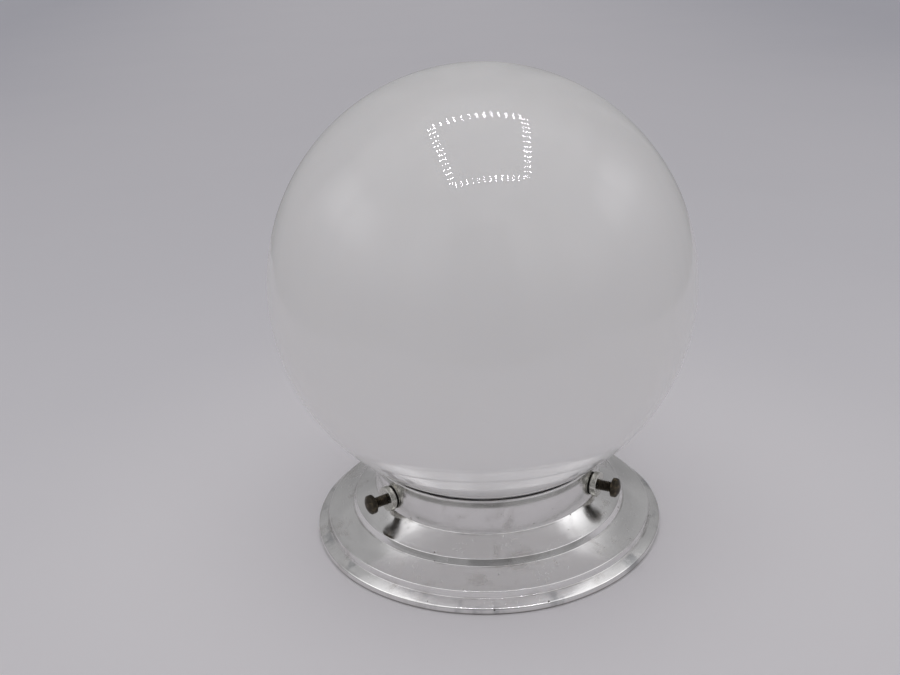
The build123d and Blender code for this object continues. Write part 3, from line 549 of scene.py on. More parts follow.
def opal_glass():
    """Glossy white opal glass, faintly mottled, with a brown band low on the neck that is painted shadow of
    the gap under the collar's lip together with soiling, and some dust.
    """
    material, tree, shader = new_material("opal_glass")
    at = place(tree)
    height = add(tree, "ShaderNodeSeparateXYZ", {"Vector": at}).outputs["Z"]
    clouds = cloud(tree, at, 14.0, detail=3.0)
    ragged = maths(tree, "ADD", height, scaled(tree, cloud(tree, at, 160.0, detail=4.0), 0.012))
    gap_shadow_and_soiling = stepped(tree, ragged, 0.047, 0.034)
    dust = speckles(tree, at, 130.0, 0.035, 0.12)
    colour = mixed(tree, clouds, (0.915, 0.905, 0.895, 1.0), (0.945, 0.935, 0.935, 1.0))
    # Painted shadow of the gap under the collar's lip, mixed with brown soiling, low on the neck.
    colour = mixed(tree, scaled(tree, gap_shadow_and_soiling, 0.55), colour, (0.42, 0.33, 0.22, 1.0))
    colour = mixed(tree, scaled(tree, dust, 0.5), colour, (0.45, 0.42, 0.38, 1.0))
    smears = cloud(tree, stretched(tree, at, (18.0, 18.0, 50.0)), 1.0, detail=4.0, distortion=0.8)
    rough = stepped(tree, smears, 0.45, 0.85, 0.015, 0.06)
    normal = bumped(tree, cloud(tree, at, 22.0, detail=1.0), 0.10, 0.0003)
    surface(tree, shader, colour, rough, normal)
    shader.subsurface_method = "RANDOM_WALK"
    shader.inputs["Subsurface Weight"].default_value = 0.35
    shader.inputs["Subsurface Radius"].default_value = (1.0, 0.95, 0.9)
    shader.inputs["Subsurface Scale"].default_value = 0.004
    shader.inputs["IOR"].default_value = 1.52
    return material


def turned_metal(name, clean, dirty, grooves, rough, dirt_share):
    """A machined metal: fine tool marks in grooves, dirt in soft patches, and small nicks."""
    material, tree, shader = new_material(name)
    at = place(tree)
    marks = cloud(tree, stretched(tree, at, grooves), 1.0, detail=2.0)
    patches = cloud(tree, at, 260.0, detail=4.0, roughness=0.62, distortion=0.5)
    nicks = speckles(tree, at, 700.0, 0.16, 0.08)
    lowered = dirt_share * 0.3
    dirt = stepped(tree, patches, 0.62 - lowered, 0.78 - lowered)
    colour = mixed(tree, marks, darker(clean, 0.86), clean)
    colour = mixed(tree, dirt, colour, dirty)
    colour = mixed(tree, nicks, colour, darker(dirty, 0.5))
    roughness = stepped(tree, patches, 0.3, 0.75, *rough)
    normal = bumped(tree, marks, 0.35, 0.00002)
    normal = bumped(tree, scaled(tree, nicks, -1.0), 0.5, 0.0001, normal)
    surface(tree, shader, colour, roughness, normal)
    shader.inputs["Metallic"].default_value = 1.0
    return material


def aged_brass():
    """The thumb screws' brass, almost black with age, rubbed to a dull brown here and there."""
    material, tree, shader = new_material("aged_brass")
    at = place(tree)
    patches = cloud(tree, at, 420.0, detail=4.0, roughness=0.65)
    grains = cloud(tree, at, 2600.0, detail=2.0)
    colour = mixed(tree, grains, (0.030, 0.026, 0.020, 1.0), (0.080, 0.068, 0.050, 1.0))
    colour = mixed(tree, stepped(tree, patches, 0.50, 0.72), colour, (0.19, 0.155, 0.100, 1.0))
    rough = stepped(tree, patches, 0.3, 0.75, 0.50, 0.30)
    surface(tree, shader, colour, rough, bumped(tree, grains, 0.5, 0.00005))
    shader.inputs["Metallic"].default_value = 0.85
    return material


def bush_metal():
    """The bushes' dulled plating, greenish, with black painted shade in the groove against the collar."""
    material, tree, shader = new_material("bush_metal")
    at = place(tree)
    _, distance, _ = round_places(tree, at)
    patches = cloud(tree, at, 330.0, detail=4.0, roughness=0.6)
    ragged = maths(tree, "ADD", distance, scaled(tree, patches, 0.0005))
    # Painted shade: black in the groove where the bush meets the collar.
    groove_shade = stepped(tree, ragged, 0.0581, 0.0575)
    colour = mixed(tree, patches, (0.58, 0.58, 0.53, 1.0), (0.70, 0.69, 0.65, 1.0))
    colour = mixed(tree, groove_shade, colour, (0.02, 0.018, 0.015, 1.0))
    rough = stepped(tree, patches, 0.3, 0.7, 0.14, 0.32)
    rough = maths(tree, "ADD", rough, scaled(tree, groove_shade, 0.4))
    surface(tree, shader, colour, rough, bumped(tree, patches, 0.3, 0.00008))
    shader.inputs["Metallic"].default_value = 1.0
    return material


def glazed(name, base, speck, rough, coat):
    """A hard glazed or moulded surface with soft unevenness and a few darker specks."""
    material, tree, shader = new_material(name)
    at = place(tree)
    uneven = cloud(tree, at, 180.0, detail=3.0)
    specks = speckles(tree, at, 520.0, 0.10, 0.10)
    colour = mixed(tree, uneven, darker(base, 0.92), base)
    colour = mixed(tree, specks, colour, speck)
    roughness = stepped(tree, uneven, 0.3, 0.7, *rough)
    surface(tree, shader, colour, roughness, bumped(tree, uneven, 0.3, 0.0001))
    shader.inputs["Coat Weight"].default_value = coat
    return material


def clear_glass(name, tint):
    """Thin clear glass with a slight unevenness and a film of dust."""
    material, tree, shader = new_material(name)
    at = place(tree)
    smears = cloud(tree, at, 70.0, detail=4.0, distortion=0.6)
    colour = mixed(tree, smears, tint, grey(0.98))
    rough = stepped(tree, smears, 0.4, 0.8, 0.0, 0.10)
    surface(tree, shader, colour, rough, bumped(tree, smears, 0.15, 0.00005))
    shader.inputs["Transmission Weight"].default_value = 1.0
    shader.inputs["IOR"].default_value = 1.5
    return material


def zinc_steel():
    """The strap, its screws and nuts, and the terminals' screws: dull plated steel."""
    return turned_metal(
        "zinc_steel",
        clean=(0.66, 0.65, 0.60, 1.0),
        dirty=(0.36, 0.33, 0.26, 1.0),
        grooves=(900.0, 90.0, 900.0),
        rough=(0.28, 0.5),
        dirt_share=0.5,
    )


def holder_brass():
    """The lampholder's shell, ring, nipple and locknut, browned by age."""
    return turned_metal(
        "holder_brass",
        clean=(0.78, 0.58, 0.27, 1.0),
        dirty=(0.36, 0.25, 0.11, 1.0),
        grooves=(60.0, 60.0, 3500.0),
        rough=(0.22, 0.42),
        dirt_share=0.5,
    )


def terminal_brass():
    """The terminals, the plungers and the earth screw, cleaner than the shell."""
    return turned_metal(
        "terminal_brass",
        clean=(0.82, 0.63, 0.32, 1.0),
        dirty=(0.42, 0.30, 0.14, 1.0),
        grooves=(60.0, 60.0, 3500.0),
        rough=(0.18, 0.36),
        dirt_share=0.3,
    )


def spring_steel():
    """Drawn spring wire."""
    return turned_metal(
        "spring_steel",
        clean=(0.56, 0.55, 0.53, 1.0),
        dirty=(0.26, 0.23, 0.20, 1.0),
        grooves=(1800.0, 1800.0, 300.0),
        rough=(0.25, 0.42),
        dirt_share=0.3,
    )


def solder():
    """The lamp's contacts: dull solder."""
    return turned_metal(
        "solder",
        clean=(0.60, 0.60, 0.61, 1.0),
        dirty=(0.32, 0.31, 0.30, 1.0),
        grooves=(900.0, 900.0, 900.0),
        rough=(0.28, 0.5),
        dirt_share=0.6,
    )


def cap_brass():
    """The lamp's cap and its pins: pale plated brass."""
    return turned_metal(
        "cap_brass",
        clean=(0.76, 0.75, 0.72, 1.0),
        dirty=(0.46, 0.43, 0.37, 1.0),
        grooves=(60.0, 60.0, 2600.0),
        rough=(0.24, 0.42),
        dirt_share=0.35,
    )


def nickel_wire():
    """The lamp's leads and supports."""
    return turned_metal(
        "nickel_wire",
        clean=(0.62, 0.60, 0.56, 1.0),
        dirty=(0.34, 0.31, 0.28, 1.0),
        grooves=(1500.0, 1500.0, 200.0),
        rough=(0.2, 0.36),
        dirt_share=0.3,
    )


def tungsten():
    """The lamp's filament."""
    return turned_metal(
        "tungsten",
        clean=(0.34, 0.34, 0.36, 1.0),
        dirty=(0.20, 0.19, 0.19, 1.0),
        grooves=(3000.0, 3000.0, 3000.0),
        rough=(0.32, 0.5),
        dirt_share=0.3,
    )


def porcelain():
    """The lampholder's white glazed interior."""
    white = (0.86, 0.84, 0.80, 1.0)
    return glazed("porcelain", white, (0.42, 0.36, 0.30, 1.0), rough=(0.10, 0.22), coat=0.4)


def cap_glass():
    """The black glass between the lamp's contacts."""
    black = (0.022, 0.020, 0.024, 1.0)
    return glazed("cap_glass", black, (0.10, 0.10, 0.11, 1.0), rough=(0.08, 0.2), coat=0.3)


def lamp_glass():
    """The lamp's clear envelope."""
    return clear_glass("lamp_glass", (0.95, 0.96, 0.97, 1.0))


def stem_glass():
    """The lamp's stem, of greener glass."""
    return clear_glass("stem_glass", (0.86, 0.92, 0.90, 1.0))


# Each of these functions is named after its material slot in the record.
SLOT_MATERIALS = (
    polished_aluminium,
    bush_metal,
    aged_brass,
    opal_glass,
    zinc_steel,
    holder_brass,
    terminal_brass,
    porcelain,
    spring_steel,
    solder,
    cap_glass,
    cap_brass,
    lamp_glass,
    stem_glass,
    nickel_wire,
    tungsten,
)
MATERIALS = {make.__name__: make() for make in SLOT_MATERIALS}
GALLERY_MATERIALS = [MATERIALS["polished_aluminium"], cast_aluminium()]
CAST_INDEX = 1


# ==================================================================================================
# Pieces
# ==================================================================================================

def gallery_outline():
    """The gallery's wall in section, as one closed outline."""
    fine, coarse = POLISHED_STEP, CAST_STEP
    land = (RIM_RADIUS - RIM_LAND, 0.0)
    rim_corner = (RIM_RADIUS, RIM_HEIGHT)
    flare_middle_z = (FLARE_START + LIP_TOP) / 2
    flare_foot = (COLLAR_RADIUS, FLARE_START)
    flare_middle = (COLLAR_RADIUS + (LIP_RADIUS - COLLAR_RADIUS) / 4, flare_middle_z)
    lip = (LIP_RADIUS, LIP_TOP)
    lip_inner = (LIP_RADIUS - LIP_THICKNESS, LIP_TOP)
    outside = [
        (line(land, (RIM_RADIUS, 0.0)), EDGE_ROUND),
        (line((RIM_RADIUS, 0.0), rim_corner, fine), RIM_ROUND),
        (arc(rim_corner, RIM_CROWN, BAND_TOP, fine), CREASE_ROUND),
        (line(BAND_TOP, STEP_ONE, fine), STEP_ROUND),
        (arc(STEP_ONE, SLOPE_ONE, SLOPE_END, fine), CREASE_ROUND),
        (line(SLOPE_END, STEP_TWO, fine), STEP_ROUND),
        (arc(STEP_TWO, SLOPE_TWO, COVE, fine), EDGE_ROUND),
        (line(COVE, flare_foot, fine), 0.0),
        (arc(flare_foot, flare_middle, lip, fine), EDGE_ROUND),
        (line(lip, lip_inner), LIP_INNER_ROUND),
    ]
    inner_flare = (COLLAR_BORE + (lip_inner[0] - COLLAR_BORE) / 4, flare_middle_z)
    bore_top = (COLLAR_BORE, FLARE_START)
    bore_foot = (COLLAR_BORE, LEDGE_TOP)
    hole_top = (LEDGE_HOLE_RADIUS, LEDGE_TOP)
    hole_foot = (LEDGE_HOLE_RADIUS, LEDGE_BOTTOM)
    cove_inside = (COVE[0] - SHELL, LEDGE_BOTTOM)
    step_two_inside = (STEP_TWO[0] - SHELL, INSIDE_STEP_TWO_Z)
    slope_end_inside = (SLOPE_END[0] - SHELL, INSIDE_SLOPE_END_Z)
    step_one_inside = (STEP_ONE[0] - SHELL, INSIDE_STEP_ONE_Z)
    band_inside = (BAND_TOP[0] - SHELL, INSIDE_BAND_Z)
    land_inside = (land[0], INSIDE_LAND_Z)
    inside = [
        (arc(lip_inner, inner_flare, bore_top, coarse), 0.0),
        (line(bore_top, bore_foot, coarse), STEP_ROUND),
        (line(bore_foot, hole_top, coarse), CREASE_ROUND),
        (line(hole_top, hole_foot), CREASE_ROUND),
        (line(hole_foot, cove_inside, coarse), ROOT_ROUND),
        (arc(cove_inside, INSIDE_SLOPE_TWO, step_two_inside, coarse), EDGE_ROUND),
        (line(step_two_inside, slope_end_inside), EDGE_ROUND),
        (arc(slope_end_inside, INSIDE_SLOPE_ONE, step_one_inside, coarse), EDGE_ROUND),
        (line(step_one_inside, band_inside), EDGE_ROUND),
        (line(band_inside, land_inside), STEP_ROUND),
        (line(land_inside, land), LAND_ROUND),
    ]
    return outline(*outside, *inside, closed=True)


def out_of_round(radius, height, turn):
    """Leaves the rim slightly wavy, as a casting that was dressed and polished by hand is."""
    outwards = np.clip((radius - LIP_RADIUS) / (RIM_RADIUS - LIP_RADIUS), 0, 1) ** 2
    wave = sum(depth * np.sin(count * turn + start) for count, depth, start in RIM_WAVES)
    return radius + outwards * wave, height


def turned_form(points, segments, closed, shape=None):
    """The vertices and faces of an outline turned round the Z axis."""
    return swept(points, segments, shape), ring_faces(len(points), segments, closed)


def radial_matrix(azimuth):
    """Turns a mesh built along +Z, from the globe's axis outwards, to its place on the collar."""
    return (
        Matrix.Translation((0, 0, SCREW_Z * MM))
        @ Matrix.Rotation(math.radians(azimuth), 4, "Z")
        @ Matrix.Rotation(math.radians(90), 4, "Y")
    )


def hole_cutter(name, points, matrix):
    """A closed turned solid that a Boolean takes out of the gallery."""
    vertices, faces = turned_form(np.array(points, float), CUTTER_SEGMENTS, closed=False)
    cutter = new_piece(name, vertices, faces, GALLERY_MATERIALS)
    for face in cutter.data.polygons:
        face.material_index = CAST_INDEX
    cutter.data.transform(matrix)
    return cutter


def drill(piece, cutters):
    """Takes each cutter's solid out of the piece."""
    for cutter in cutters:
        cut = piece.modifiers.new(cutter.name, "BOOLEAN")
        cut.operation = "DIFFERENCE"
        cut.solver = "EXACT"
        cut.object = cutter
    bpy.context.view_layer.update()
    graph = bpy.context.evaluated_depsgraph_get()
    mesh = bpy.data.meshes.new_from_object(piece.evaluated_get(graph))
    piece.modifiers.clear()
    piece.data = mesh
    for cutter in cutters:
        bpy.data.objects.remove(cutter)
    shade(mesh)


def is_cast(face):
    """True for a face that was never polished: in the bore over the ledge, or facing down inside."""
    centre = face.center / MM
    distance = math.hypot(centre.x, centre.y)
    in_bore = distance < COLLAR_BORE + BORE_MARGIN and centre.z > LEDGE_BOTTOM - LEDGE_MARGIN
    on_flare = distance > COLLAR_RADIUS - COLLAR_MARGIN and centre.z > COVE[1]
    inside_rim = centre.z > FOOT_MARGIN and distance < RIM_RADIUS - RIM_MARGIN
    faces_down = face.normal.z < FACES_DOWN and inside_rim
    return in_bore or (faces_down and not on_flare)


def bush_cutters():
    """A straight hole through the collar for each screw's bush."""
    start, end = BUSH_CUT
    bore = [(0, start), (SPIGOT_RADIUS, start), (SPIGOT_RADIUS, end), (0, end)]
    return [
        hole_cutter(f"bush_hole_{name}", bore, radial_matrix(azimuth))
        for name, azimuth in SCREW_AZIMUTHS.items()
    ]


def strap_cutters():
    """Two countersunk holes through the ledge for the strap's screws."""
    start, end = STRAP_CUT
    sink_foot = LEDGE_TOP - (STRAP_HEAD - STRAP_HOLE)
    bore = [(0, start), (STRAP_HOLE, start), (STRAP_HOLE, sink_foot)]
    sink = [(STRAP_HEAD, LEDGE_TOP), (STRAP_HEAD, end), (0, end)]
    cutters = []
    for side in (-1, 1):
        aside = Matrix.Translation((side * STRAP_SCREW_X * MM, 0, 0))
        cutters.append(hole_cutter(f"strap_hole_{side}", bore + sink, aside))
    return cutters


def make_gallery():
    """The casting: polished outside, as cast inside, and drilled for the bushes and the strap."""
    vertices, faces = turned_form(gallery_outline(), GALLERY_SEGMENTS, closed=True, shape=out_of_round)
    piece = new_piece("gallery_casting", vertices, faces, GALLERY_MATERIALS)
    put_on(piece, "gallery")
    for face in piece.data.polygons:
        face.material_index = CAST_INDEX if is_cast(face) else 0
    drill(piece, bush_cutters() + strap_cutters())
    even = piece.modifiers.new("face weighted shading", "WEIGHTED_NORMAL")
    even.keep_sharp = True
    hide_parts("gallery")


def globe_side(radius, half_height, neck_radius, centre_z):
    """Radius and height pairs down a spheroid from its crown to where its neck starts."""
    end = math.pi - math.asin(neck_radius / radius)
    count = round(math.degrees(end) / GLOBE_STEP_ANGLE)
    angle = np.linspace(0, end, count + 1)
    return np.column_stack([radius * np.sin(angle), centre_z + half_height * np.cos(angle)])


def make_globe():
    """The opal globe: a spheroid that runs down into a neck with a flared lip, open below."""
    low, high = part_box("opal_globe")
    radius = min(high.x, high.y, -low.x, -low.y) / MM
    crown = high.z / MM
    half_height = radius * GLOBE_HEIGHT_SHARE
    centre_z = crown - half_height
    outside = globe_side(radius, half_height, NECK_RADIUS, centre_z)
    inner_neck = NECK_RADIUS - GLASS
    inside = globe_side(radius - GLASS, half_height - GLASS, inner_neck, centre_z)[::-1]
    flare_top = (NECK_RADIUS, GLASS_FLARE_TOP)
    lip_top = (GLASS_LIP_RADIUS, GLASS_LIP_TOP)
    lip_foot = (GLASS_LIP_RADIUS, GLASS_LIP_BOTTOM)
    mouth = (inner_neck, GLASS_LIP_BOTTOM)
    points = outline(
        (outside, NECK_FILLET),
        (line(outside[-1], flare_top, GLASS_STEP), GLASS_FLARE_ROUND),
        (line(flare_top, lip_top, GLASS_FLARE_STEP), GLASS_LIP_ROUND),
        (line(lip_top, lip_foot), GLASS_LIP_ROUND),
        (line(lip_foot, mouth, GLASS_STEP), GLASS_LIP_ROUND),
        (line(mouth, inside[0], GLASS_NECK_STEP), NECK_FILLET + GLASS),
        (inside, 0.0),
        closed=False,
    )
    vertices, faces = turned_form(points, GLOBE_SEGMENTS, closed=False)
    piece = new_piece("opal_glass_globe", vertices, faces, [MATERIALS["opal_glass"]])
    put_on(piece, "globe")
    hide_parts("opal_globe")


def thread_vertices():
    """A threaded rod: a V thread that climbs one pitch a turn, with a chamfered point and a plain root."""
    height = np.linspace(SCREW_TIP, HEAD_FACE + HEAD_OVERLAP, THREAD_ROWS)[:, None]
    turn = np.arange(THREAD_SEGMENTS)[None, :] / THREAD_SEGMENTS
    phase = np.mod(height / THREAD_PITCH - turn, 1.0)
    tooth = np.clip(THREAD_FLAT - THREAD_FLANK * np.abs(phase - 0.5), 0, 1)
    radius = THREAD_RADIUS - THREAD_DEPTH * (1 - tooth)
    chamfer = np.minimum(radius, THREAD_RADIUS - POINT_INSET + height - SCREW_TIP)
    radius = np.where(height < SCREW_TIP + POINT_LENGTH, chamfer, radius)
    root = np.minimum(radius, THREAD_RADIUS - THREAD_DEPTH)
    radius = np.where(height > HEAD_FACE - THREAD_RUNOUT, root, radius)
    angle = turn * FULL_TURN
    grid = [radius * np.cos(angle), radius * np.sin(angle), height + 0 * angle]
    return np.stack(grid, axis=-1).reshape(-1, 3)


def knurled(radius, height, turn):
    """Presses straight flutes into the head's rim, running out before its face and its dome."""
    rim_middle = HEAD_FACE + HEAD_RIM / 2
    along = np.clip(KNURL_RUNOUT - np.abs(height - rim_middle) / (HEAD_RIM / 2), 0, 1)
    outer = np.clip((radius - HEAD_RADIUS + KNURL_BAND) / KNURL_BAND, 0, 1)
    flute = np.clip(np.cos(KNURL_FLUTES * turn) * FLUTE_GAIN + FLUTE_SHIFT, 0, 1)
    return radius - KNURL_DEPTH * flute * along * outer, height


def screw_head():
    """The head in section: flat under, a straight knurled rim and a low dome."""
    rim_end = HEAD_FACE + HEAD_RIM
    crown = rim_end + HEAD_DOME
    dome_radius = (HEAD_RADIUS**2 + HEAD_DOME**2) / (2 * HEAD_DOME)
    half = math.asin(HEAD_RADIUS / dome_radius) / 2
    dome_middle = (dome_radius * math.sin(half), crown - dome_radius * (1 - math.cos(half)))
    return outline(
        (line((0, HEAD_FACE), (HEAD_RADIUS, HEAD_FACE), HEAD_FACE_STEP), HEAD_ROUND),
        (line((HEAD_RADIUS, HEAD_FACE), (HEAD_RADIUS, rim_end), HEAD_RIM_STEP), HEAD_ROUND),
        (arc((HEAD_RADIUS, rim_end), dome_middle, (0, crown), HEAD_DOME_STEP), 0.0),
        closed=False,
    )


def make_screw(name, azimuth):
    """A thumb screw, built along +Z and then turned to its place on the collar."""
    rod = thread_vertices()
    faces = ring_faces(THREAD_ROWS, THREAD_SEGMENTS, closed=False) + end_faces(THREAD_ROWS, THREAD_SEGMENTS)
    segments = KNURL_FLUTES * FLUTE_STEPS
    head, head_faces = turned_form(screw_head(), segments, closed=False, shape=knurled)
    faces += [tuple(index + len(rod) for index in face) for face in head_faces]
    piece = new_piece(f"thumb_screw_{name}", np.vstack([rod, head]), faces, [MATERIALS["aged_brass"]])
    put_on(piece, f"screw_{name}")
    piece.data.transform(radial_matrix(azimuth))
    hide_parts(f"gallery_screw_{name}")


def make_spring(name):
    """A coil spring with closer turns at its ends."""
    low, high = (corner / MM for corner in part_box(f"plunger_spring_{name}"))
    centre = (low + high) / 2
    coil_radius = min(high.x - low.x, high.y - low.y) / 2 - SPRING_WIRE
    share = np.linspace(0, 1, SPRING_RINGS)
    climb = share - SPRING_CLOSING * np.sin(share * FULL_TURN) / FULL_TURN
    turn = share * SPRING_TURNS * FULL_TURN
    outwards = np.column_stack([np.cos(turn), np.sin(turn), np.zeros(SPRING_RINGS)])
    path = outwards * coil_radius + [centre.x, centre.y, 0]
    path[:, 2] = low.z + SPRING_WIRE + climb * (high.z - low.z - 2 * SPRING_WIRE)
    along = np.gradient(path, axis=0)
    upwards = np.cross(outwards, along / np.linalg.norm(along, axis=1)[:, None])
    around = np.arange(SPRING_SEGMENTS)[None, :, None] / SPRING_SEGMENTS * FULL_TURN
    circles = np.cos(around) * outwards[:, None] + np.sin(around) * upwards[:, None]
    vertices = (path[:, None] + SPRING_WIRE * circles).reshape(-1, 3)
    faces = ring_faces(SPRING_RINGS, SPRING_SEGMENTS, closed=False) + end_faces(SPRING_RINGS, SPRING_SEGMENTS)
    piece = new_piece(f"spring_coil_{name}", vertices, faces, [MATERIALS["spring_steel"]])
    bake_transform(piece)
    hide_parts(f"plunger_spring_{name}")


def dress_cad_nodes():
    """Gives every CAD node that is still shown the material of its slot in the record."""
    slots = {row["node"]: row["material_slot"] for row in frame["record"]["subparts"]}
    for name, node in frame["nodes"].items():
        node.data.materials.clear()
        node.data.materials.append(MATERIALS[slots[name]])


# ==================================================================================================
# Studio, in metres
# ==================================================================================================
FLOOR_HALF = 6.0
TENT_SIDE = 0.50
TENT_FRONT = -0.40
TENT_BACK = 0.60
TENT_TOP = 0.60
SOFT_PANEL_Z = 0.46
LED_CENTRE = (0.017, -0.066)
LED_HALF_SIZE = (0.143, 0.153)
LED_MODULES = 13
LED_DOT = 0.0056
LED_TURN = 3.5
LED_DOT_GAP = 0.0100
LED_DROP = 0.004
LED_STRENGTH = 30.0
LED_COLOUR = (0.96, 0.90, 1.0, 1.0)
CLOTH_COLOUR = (0.99, 0.985, 1.0, 1.0)
PANEL_Y = -0.02
OPENING_X = -0.03
OPENING_DIM = 0.35
# The sheet's colour near the object, brightened by painted light, and far off, darkened by painted shade.
SHEET_LIT_NEAR = (0.94, 0.925, 0.95, 1.0)
SHEET_SHADED_FAR = (0.62, 0.625, 0.68, 1.0)
SKY_LOW = (0.535, 0.525, 0.535, 1.0)
SKY_HIGH = (0.475, 0.467, 0.478, 1.0)
TOP_LIGHT_PLACE = (0, 0.06, 0.9)
TOP_LIGHT_AIM = (0, 0, 0.05)
TOP_LIGHT_SIZE = (0.6, 0.5)
TOP_LIGHT_WATTS = 0.4
CAMERA_PLACE = (-0.0421, -0.4947, 0.3065)
CAMERA_AIM = (-0.0160, 0.0030, 0.0985)
CAMERA_ROLL = -2.43
CAMERA_LENS = 44.0
CAMERA_SENSOR = 36.0
CAMERA_NEAREST = 0.01


def emission(name, colour, strength):
    """A material that only glows."""
    material = bpy.data.materials.new(name)
    material.use_nodes = True
    tree = material.node_tree
    tree.nodes.remove(tree.nodes["Principled BSDF"])
    glow = add(tree, "ShaderNodeEmission", {"Color": colour, "Strength": strength})
    tree.links.new(glow.outputs["Emission"], tree.nodes["Material Output"].inputs["Surface"])
    return material, tree, glow


def stage_piece(name, vertices, faces, material):
    """A piece of the studio, in metres, that isn't part of the object."""
    mesh = bpy.data.meshes.new(name)
    mesh.from_pydata([tuple(v) for v in vertices], [], faces)
    mesh.materials.append(material)
    piece = bpy.data.objects.new(name, mesh)
    bpy.context.scene.collection.objects.link(piece)
    return piece


def only_in_reflections(piece):
    """Leaves a stage piece to be seen in glossy reflections, and nowhere else."""
    piece.visible_camera = False
    piece.visible_diffuse = False
    piece.visible_shadow = False
    piece.visible_transmission = False
    piece.visible_volume_scatter = False


def make_floor():
    """A pale, matt sheet with painted shade further off, behind and to the sides, and painted light round the
    object's base.
    """
    material, tree, shader = new_material("studio_sheet")
    at = place(tree)
    parts = add(tree, "ShaderNodeSeparateXYZ", {"Vector": at})
    x, y = parts.outputs["X"], parts.outputs["Y"]
    # Painted shade: darker behind the object and further off to the sides.
    painted_shade_behind = stepped(tree, y, -0.10, 0.45, 0.0, 0.26)
    aside = stepped(tree, maths(tree, "ABSOLUTE", x), 0.15, 1.2, 0.0, 0.6)
    painted_shade_far = maths(tree, "MULTIPLY", stepped(tree, y, 0.3, 1.6), aside)
    uneven = maths(tree, "SUBTRACT", cloud(tree, at, 5.0, detail=3.0), 0.5)
    _, distance, _ = round_places(tree, at)
    # Painted light: the sheet is kept brighter round the object's base, against its shadow.
    around = stepped(tree, distance, 0.14, 0.32, 0.0, 0.19)
    share = maths(tree, "ADD", maths(tree, "ADD", painted_shade_behind, painted_shade_far), around)
    share = maths(tree, "ADD", share, scaled(tree, uneven, 0.08))
    tree.links.new(mixed(tree, share, SHEET_LIT_NEAR, SHEET_SHADED_FAR), shader.inputs["Base Color"])
    shader.inputs["Roughness"].default_value = 0.75
    shader.inputs["Specular IOR Level"].default_value = 0.2
    half = FLOOR_HALF
    corners = [(-half, -half, 0), (half, -half, 0), (half, half, 0), (-half, half, 0)]
    stage_piece("studio_floor", corners, [(0, 1, 2, 3)], material)


def tent_brightness(tree, at):
    """Brighter high up at the front, with a soft panel on each side and a dimmer opening in front."""
    parts = add(tree, "ShaderNodeSeparateXYZ", {"Vector": at})
    x, y, z = (parts.outputs[axis] for axis in "XYZ")
    upper = maths(tree, "MULTIPLY", stepped(tree, z, 0.14, 0.44), stepped(tree, y, 0.38, 0.0))
    bright = maths(tree, "ADD", stepped(tree, z, 0.0, 0.3, 0.28, 0.36), scaled(tree, upper, 0.70))

    on_side = stepped(tree, maths(tree, "ABSOLUTE", x), TENT_SIDE * 0.9, TENT_SIDE * 0.98)
    off_panel_z = maths(tree, "ABSOLUTE", maths(tree, "SUBTRACT", z, SOFT_PANEL_Z))
    off_panel_y = maths(tree, "ABSOLUTE", maths(tree, "SUBTRACT", y, PANEL_Y))
    panel = maths(tree, "MULTIPLY", on_side, stepped(tree, off_panel_z, 0.15, 0.04))
    panel = maths(tree, "MULTIPLY", panel, stepped(tree, off_panel_y, 0.26, 0.06))
    bright = maths(tree, "ADD", bright, scaled(tree, panel, 0.6))

    on_front = stepped(tree, y, TENT_FRONT * 0.9, TENT_FRONT * 0.98)
    off_opening = maths(tree, "ABSOLUTE", maths(tree, "SUBTRACT", x, OPENING_X))
    opening = maths(tree, "MULTIPLY", stepped(tree, off_opening, 0.125, 0.10), stepped(tree, z, 0.56, 0.50))
    opening = maths(tree, "MULTIPLY", on_front, opening)
    bright = maths(tree, "MULTIPLY", bright, maths(tree, "SUBTRACT", 1.0, scaled(tree, opening, OPENING_DIM)))

    folds = cloud(tree, stretched(tree, at, (9.0, 9.0, 1.3)), 1.0, detail=3.0, distortion=0.5)
    return maths(tree, "MULTIPLY", bright, stepped(tree, folds, 0.3, 0.7, 0.85, 1.12))


def make_tent():
    """A pale tent round the light, seen only in its reflections."""
    material, tree, glow = emission("tent_cloth", CLOTH_COLOUR, 1.0)
    tree.links.new(tent_brightness(tree, place(tree)), glow.inputs["Strength"])
    corners = [
        (x, y, z)
        for z in (0, TENT_TOP)
        for x, y in (
            (-TENT_SIDE, TENT_FRONT),
            (TENT_SIDE, TENT_FRONT),
            (TENT_SIDE, TENT_BACK),
            (-TENT_SIDE, TENT_BACK),
        )
    ]
    walls = [(0, 1, 5, 4), (1, 2, 6, 5), (2, 3, 7, 6), (3, 0, 4, 7), (4, 5, 6, 7)]
    only_in_reflections(stage_piece("light_tent", corners, walls, material))


def dot(x, y):
    """The corners of one small square light, in the plane of the frame."""
    half = LED_DOT / 2
    return [(x + i * half, y + j * half, 0.0) for i, j in ((-1, -1), (1, -1), (1, 1), (-1, 1))]


def make_led_frame():
    """The tent's lights: a rectangle of small modules in its top, each a row of three dots."""
    material, _, _ = emission("led_dots", LED_COLOUR, LED_STRENGTH)
    half_x, half_y = LED_HALF_SIZE
    vertices = []
    for module in range(LED_MODULES):
        share = 2 * (module + 0.5) / LED_MODULES - 1
        for row in (-1, 0, 1):
            across = row * LED_DOT_GAP
            for side in (-1, 1):
                vertices += dot(share * half_x, side * half_y + across)
                vertices += dot(side * half_x + across, share * half_y)
    turn = Matrix.Rotation(math.radians(LED_TURN), 4, "Z")
    placed = Matrix.Translation((*LED_CENTRE, TENT_TOP - LED_DROP)) @ turn
    vertices = [placed @ Vector(vertex) for vertex in vertices]
    faces = [tuple(range(i, i + 4)) for i in range(0, len(vertices), 4)]
    only_in_reflections(stage_piece("led_frame", vertices, faces, material))


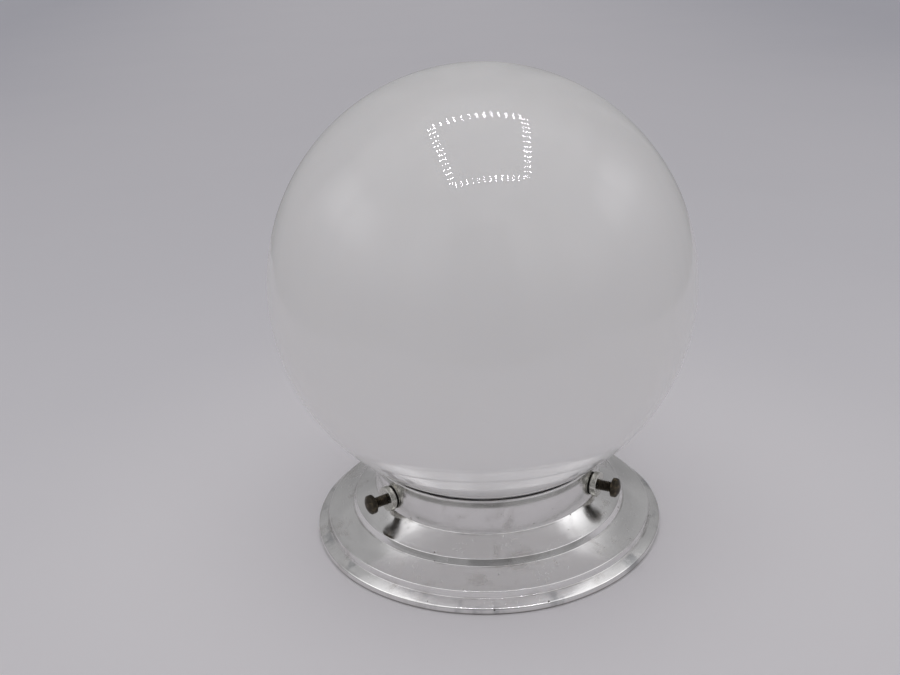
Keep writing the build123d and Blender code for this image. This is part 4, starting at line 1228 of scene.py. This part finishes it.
def make_world():
    """Even, soft light from all round, a little weaker from above, where the lamp adds to it."""
    world = bpy.data.worlds.new("studio_light")
    world.use_nodes = True
    bpy.context.scene.world = world
    tree = world.node_tree
    direction = add(tree, "ShaderNodeTexCoord").outputs["Generated"]
    up = add(tree, "ShaderNodeSeparateXYZ", {"Vector": direction}).outputs["Z"]
    glow = tree.nodes["Background"]
    sky = mixed(tree, stepped(tree, up, -0.05, 0.9), SKY_LOW, SKY_HIGH)
    tree.links.new(sky, glow.inputs["Color"])
    glow.inputs["Strength"].default_value = 1.0


def make_top_light():
    """One weak, wide lamp overhead, which isn't seen in reflections."""
    light = bpy.data.lights.new("top_light", "AREA")
    light.shape = "RECTANGLE"
    light.size, light.size_y = TOP_LIGHT_SIZE
    light.energy = TOP_LIGHT_WATTS
    lamp = bpy.data.objects.new("top_light", light)
    lamp.location = TOP_LIGHT_PLACE
    aim = (Vector(TOP_LIGHT_AIM) - Vector(TOP_LIGHT_PLACE)).to_track_quat("-Z", "Y")
    lamp.rotation_euler = aim.to_euler()
    lamp.visible_glossy = False
    lamp.visible_camera = False
    bpy.context.scene.collection.objects.link(lamp)


def make_camera():
    """The camera, at about 22 degrees above the light and a little turned about its own axis."""
    camera = bpy.data.cameras.new("camera")
    camera.lens = CAMERA_LENS
    camera.sensor_width = CAMERA_SENSOR
    camera.clip_start = CAMERA_NEAREST
    holder = bpy.data.objects.new("camera", camera)
    aim = (Vector(CAMERA_AIM) - Vector(CAMERA_PLACE)).to_track_quat("-Z", "Y")
    holder.rotation_mode = "QUATERNION"
    holder.rotation_quaternion = aim @ Quaternion((0, 0, 1), math.radians(CAMERA_ROLL))
    holder.location = CAMERA_PLACE
    bpy.context.scene.collection.objects.link(holder)
    bpy.context.scene.camera = holder


make_camera()
make_world()
make_top_light()
make_floor()
make_tent()
make_led_frame()
dress_cad_nodes()
make_gallery()
make_globe()
for screw_name, screw_azimuth in SCREW_AZIMUTHS.items():
    make_screw(screw_name, screw_azimuth)
for spring_name in ("front", "back"):
    make_spring(spring_name)
bpy.context.scene.view_settings.view_transform = "Standard"
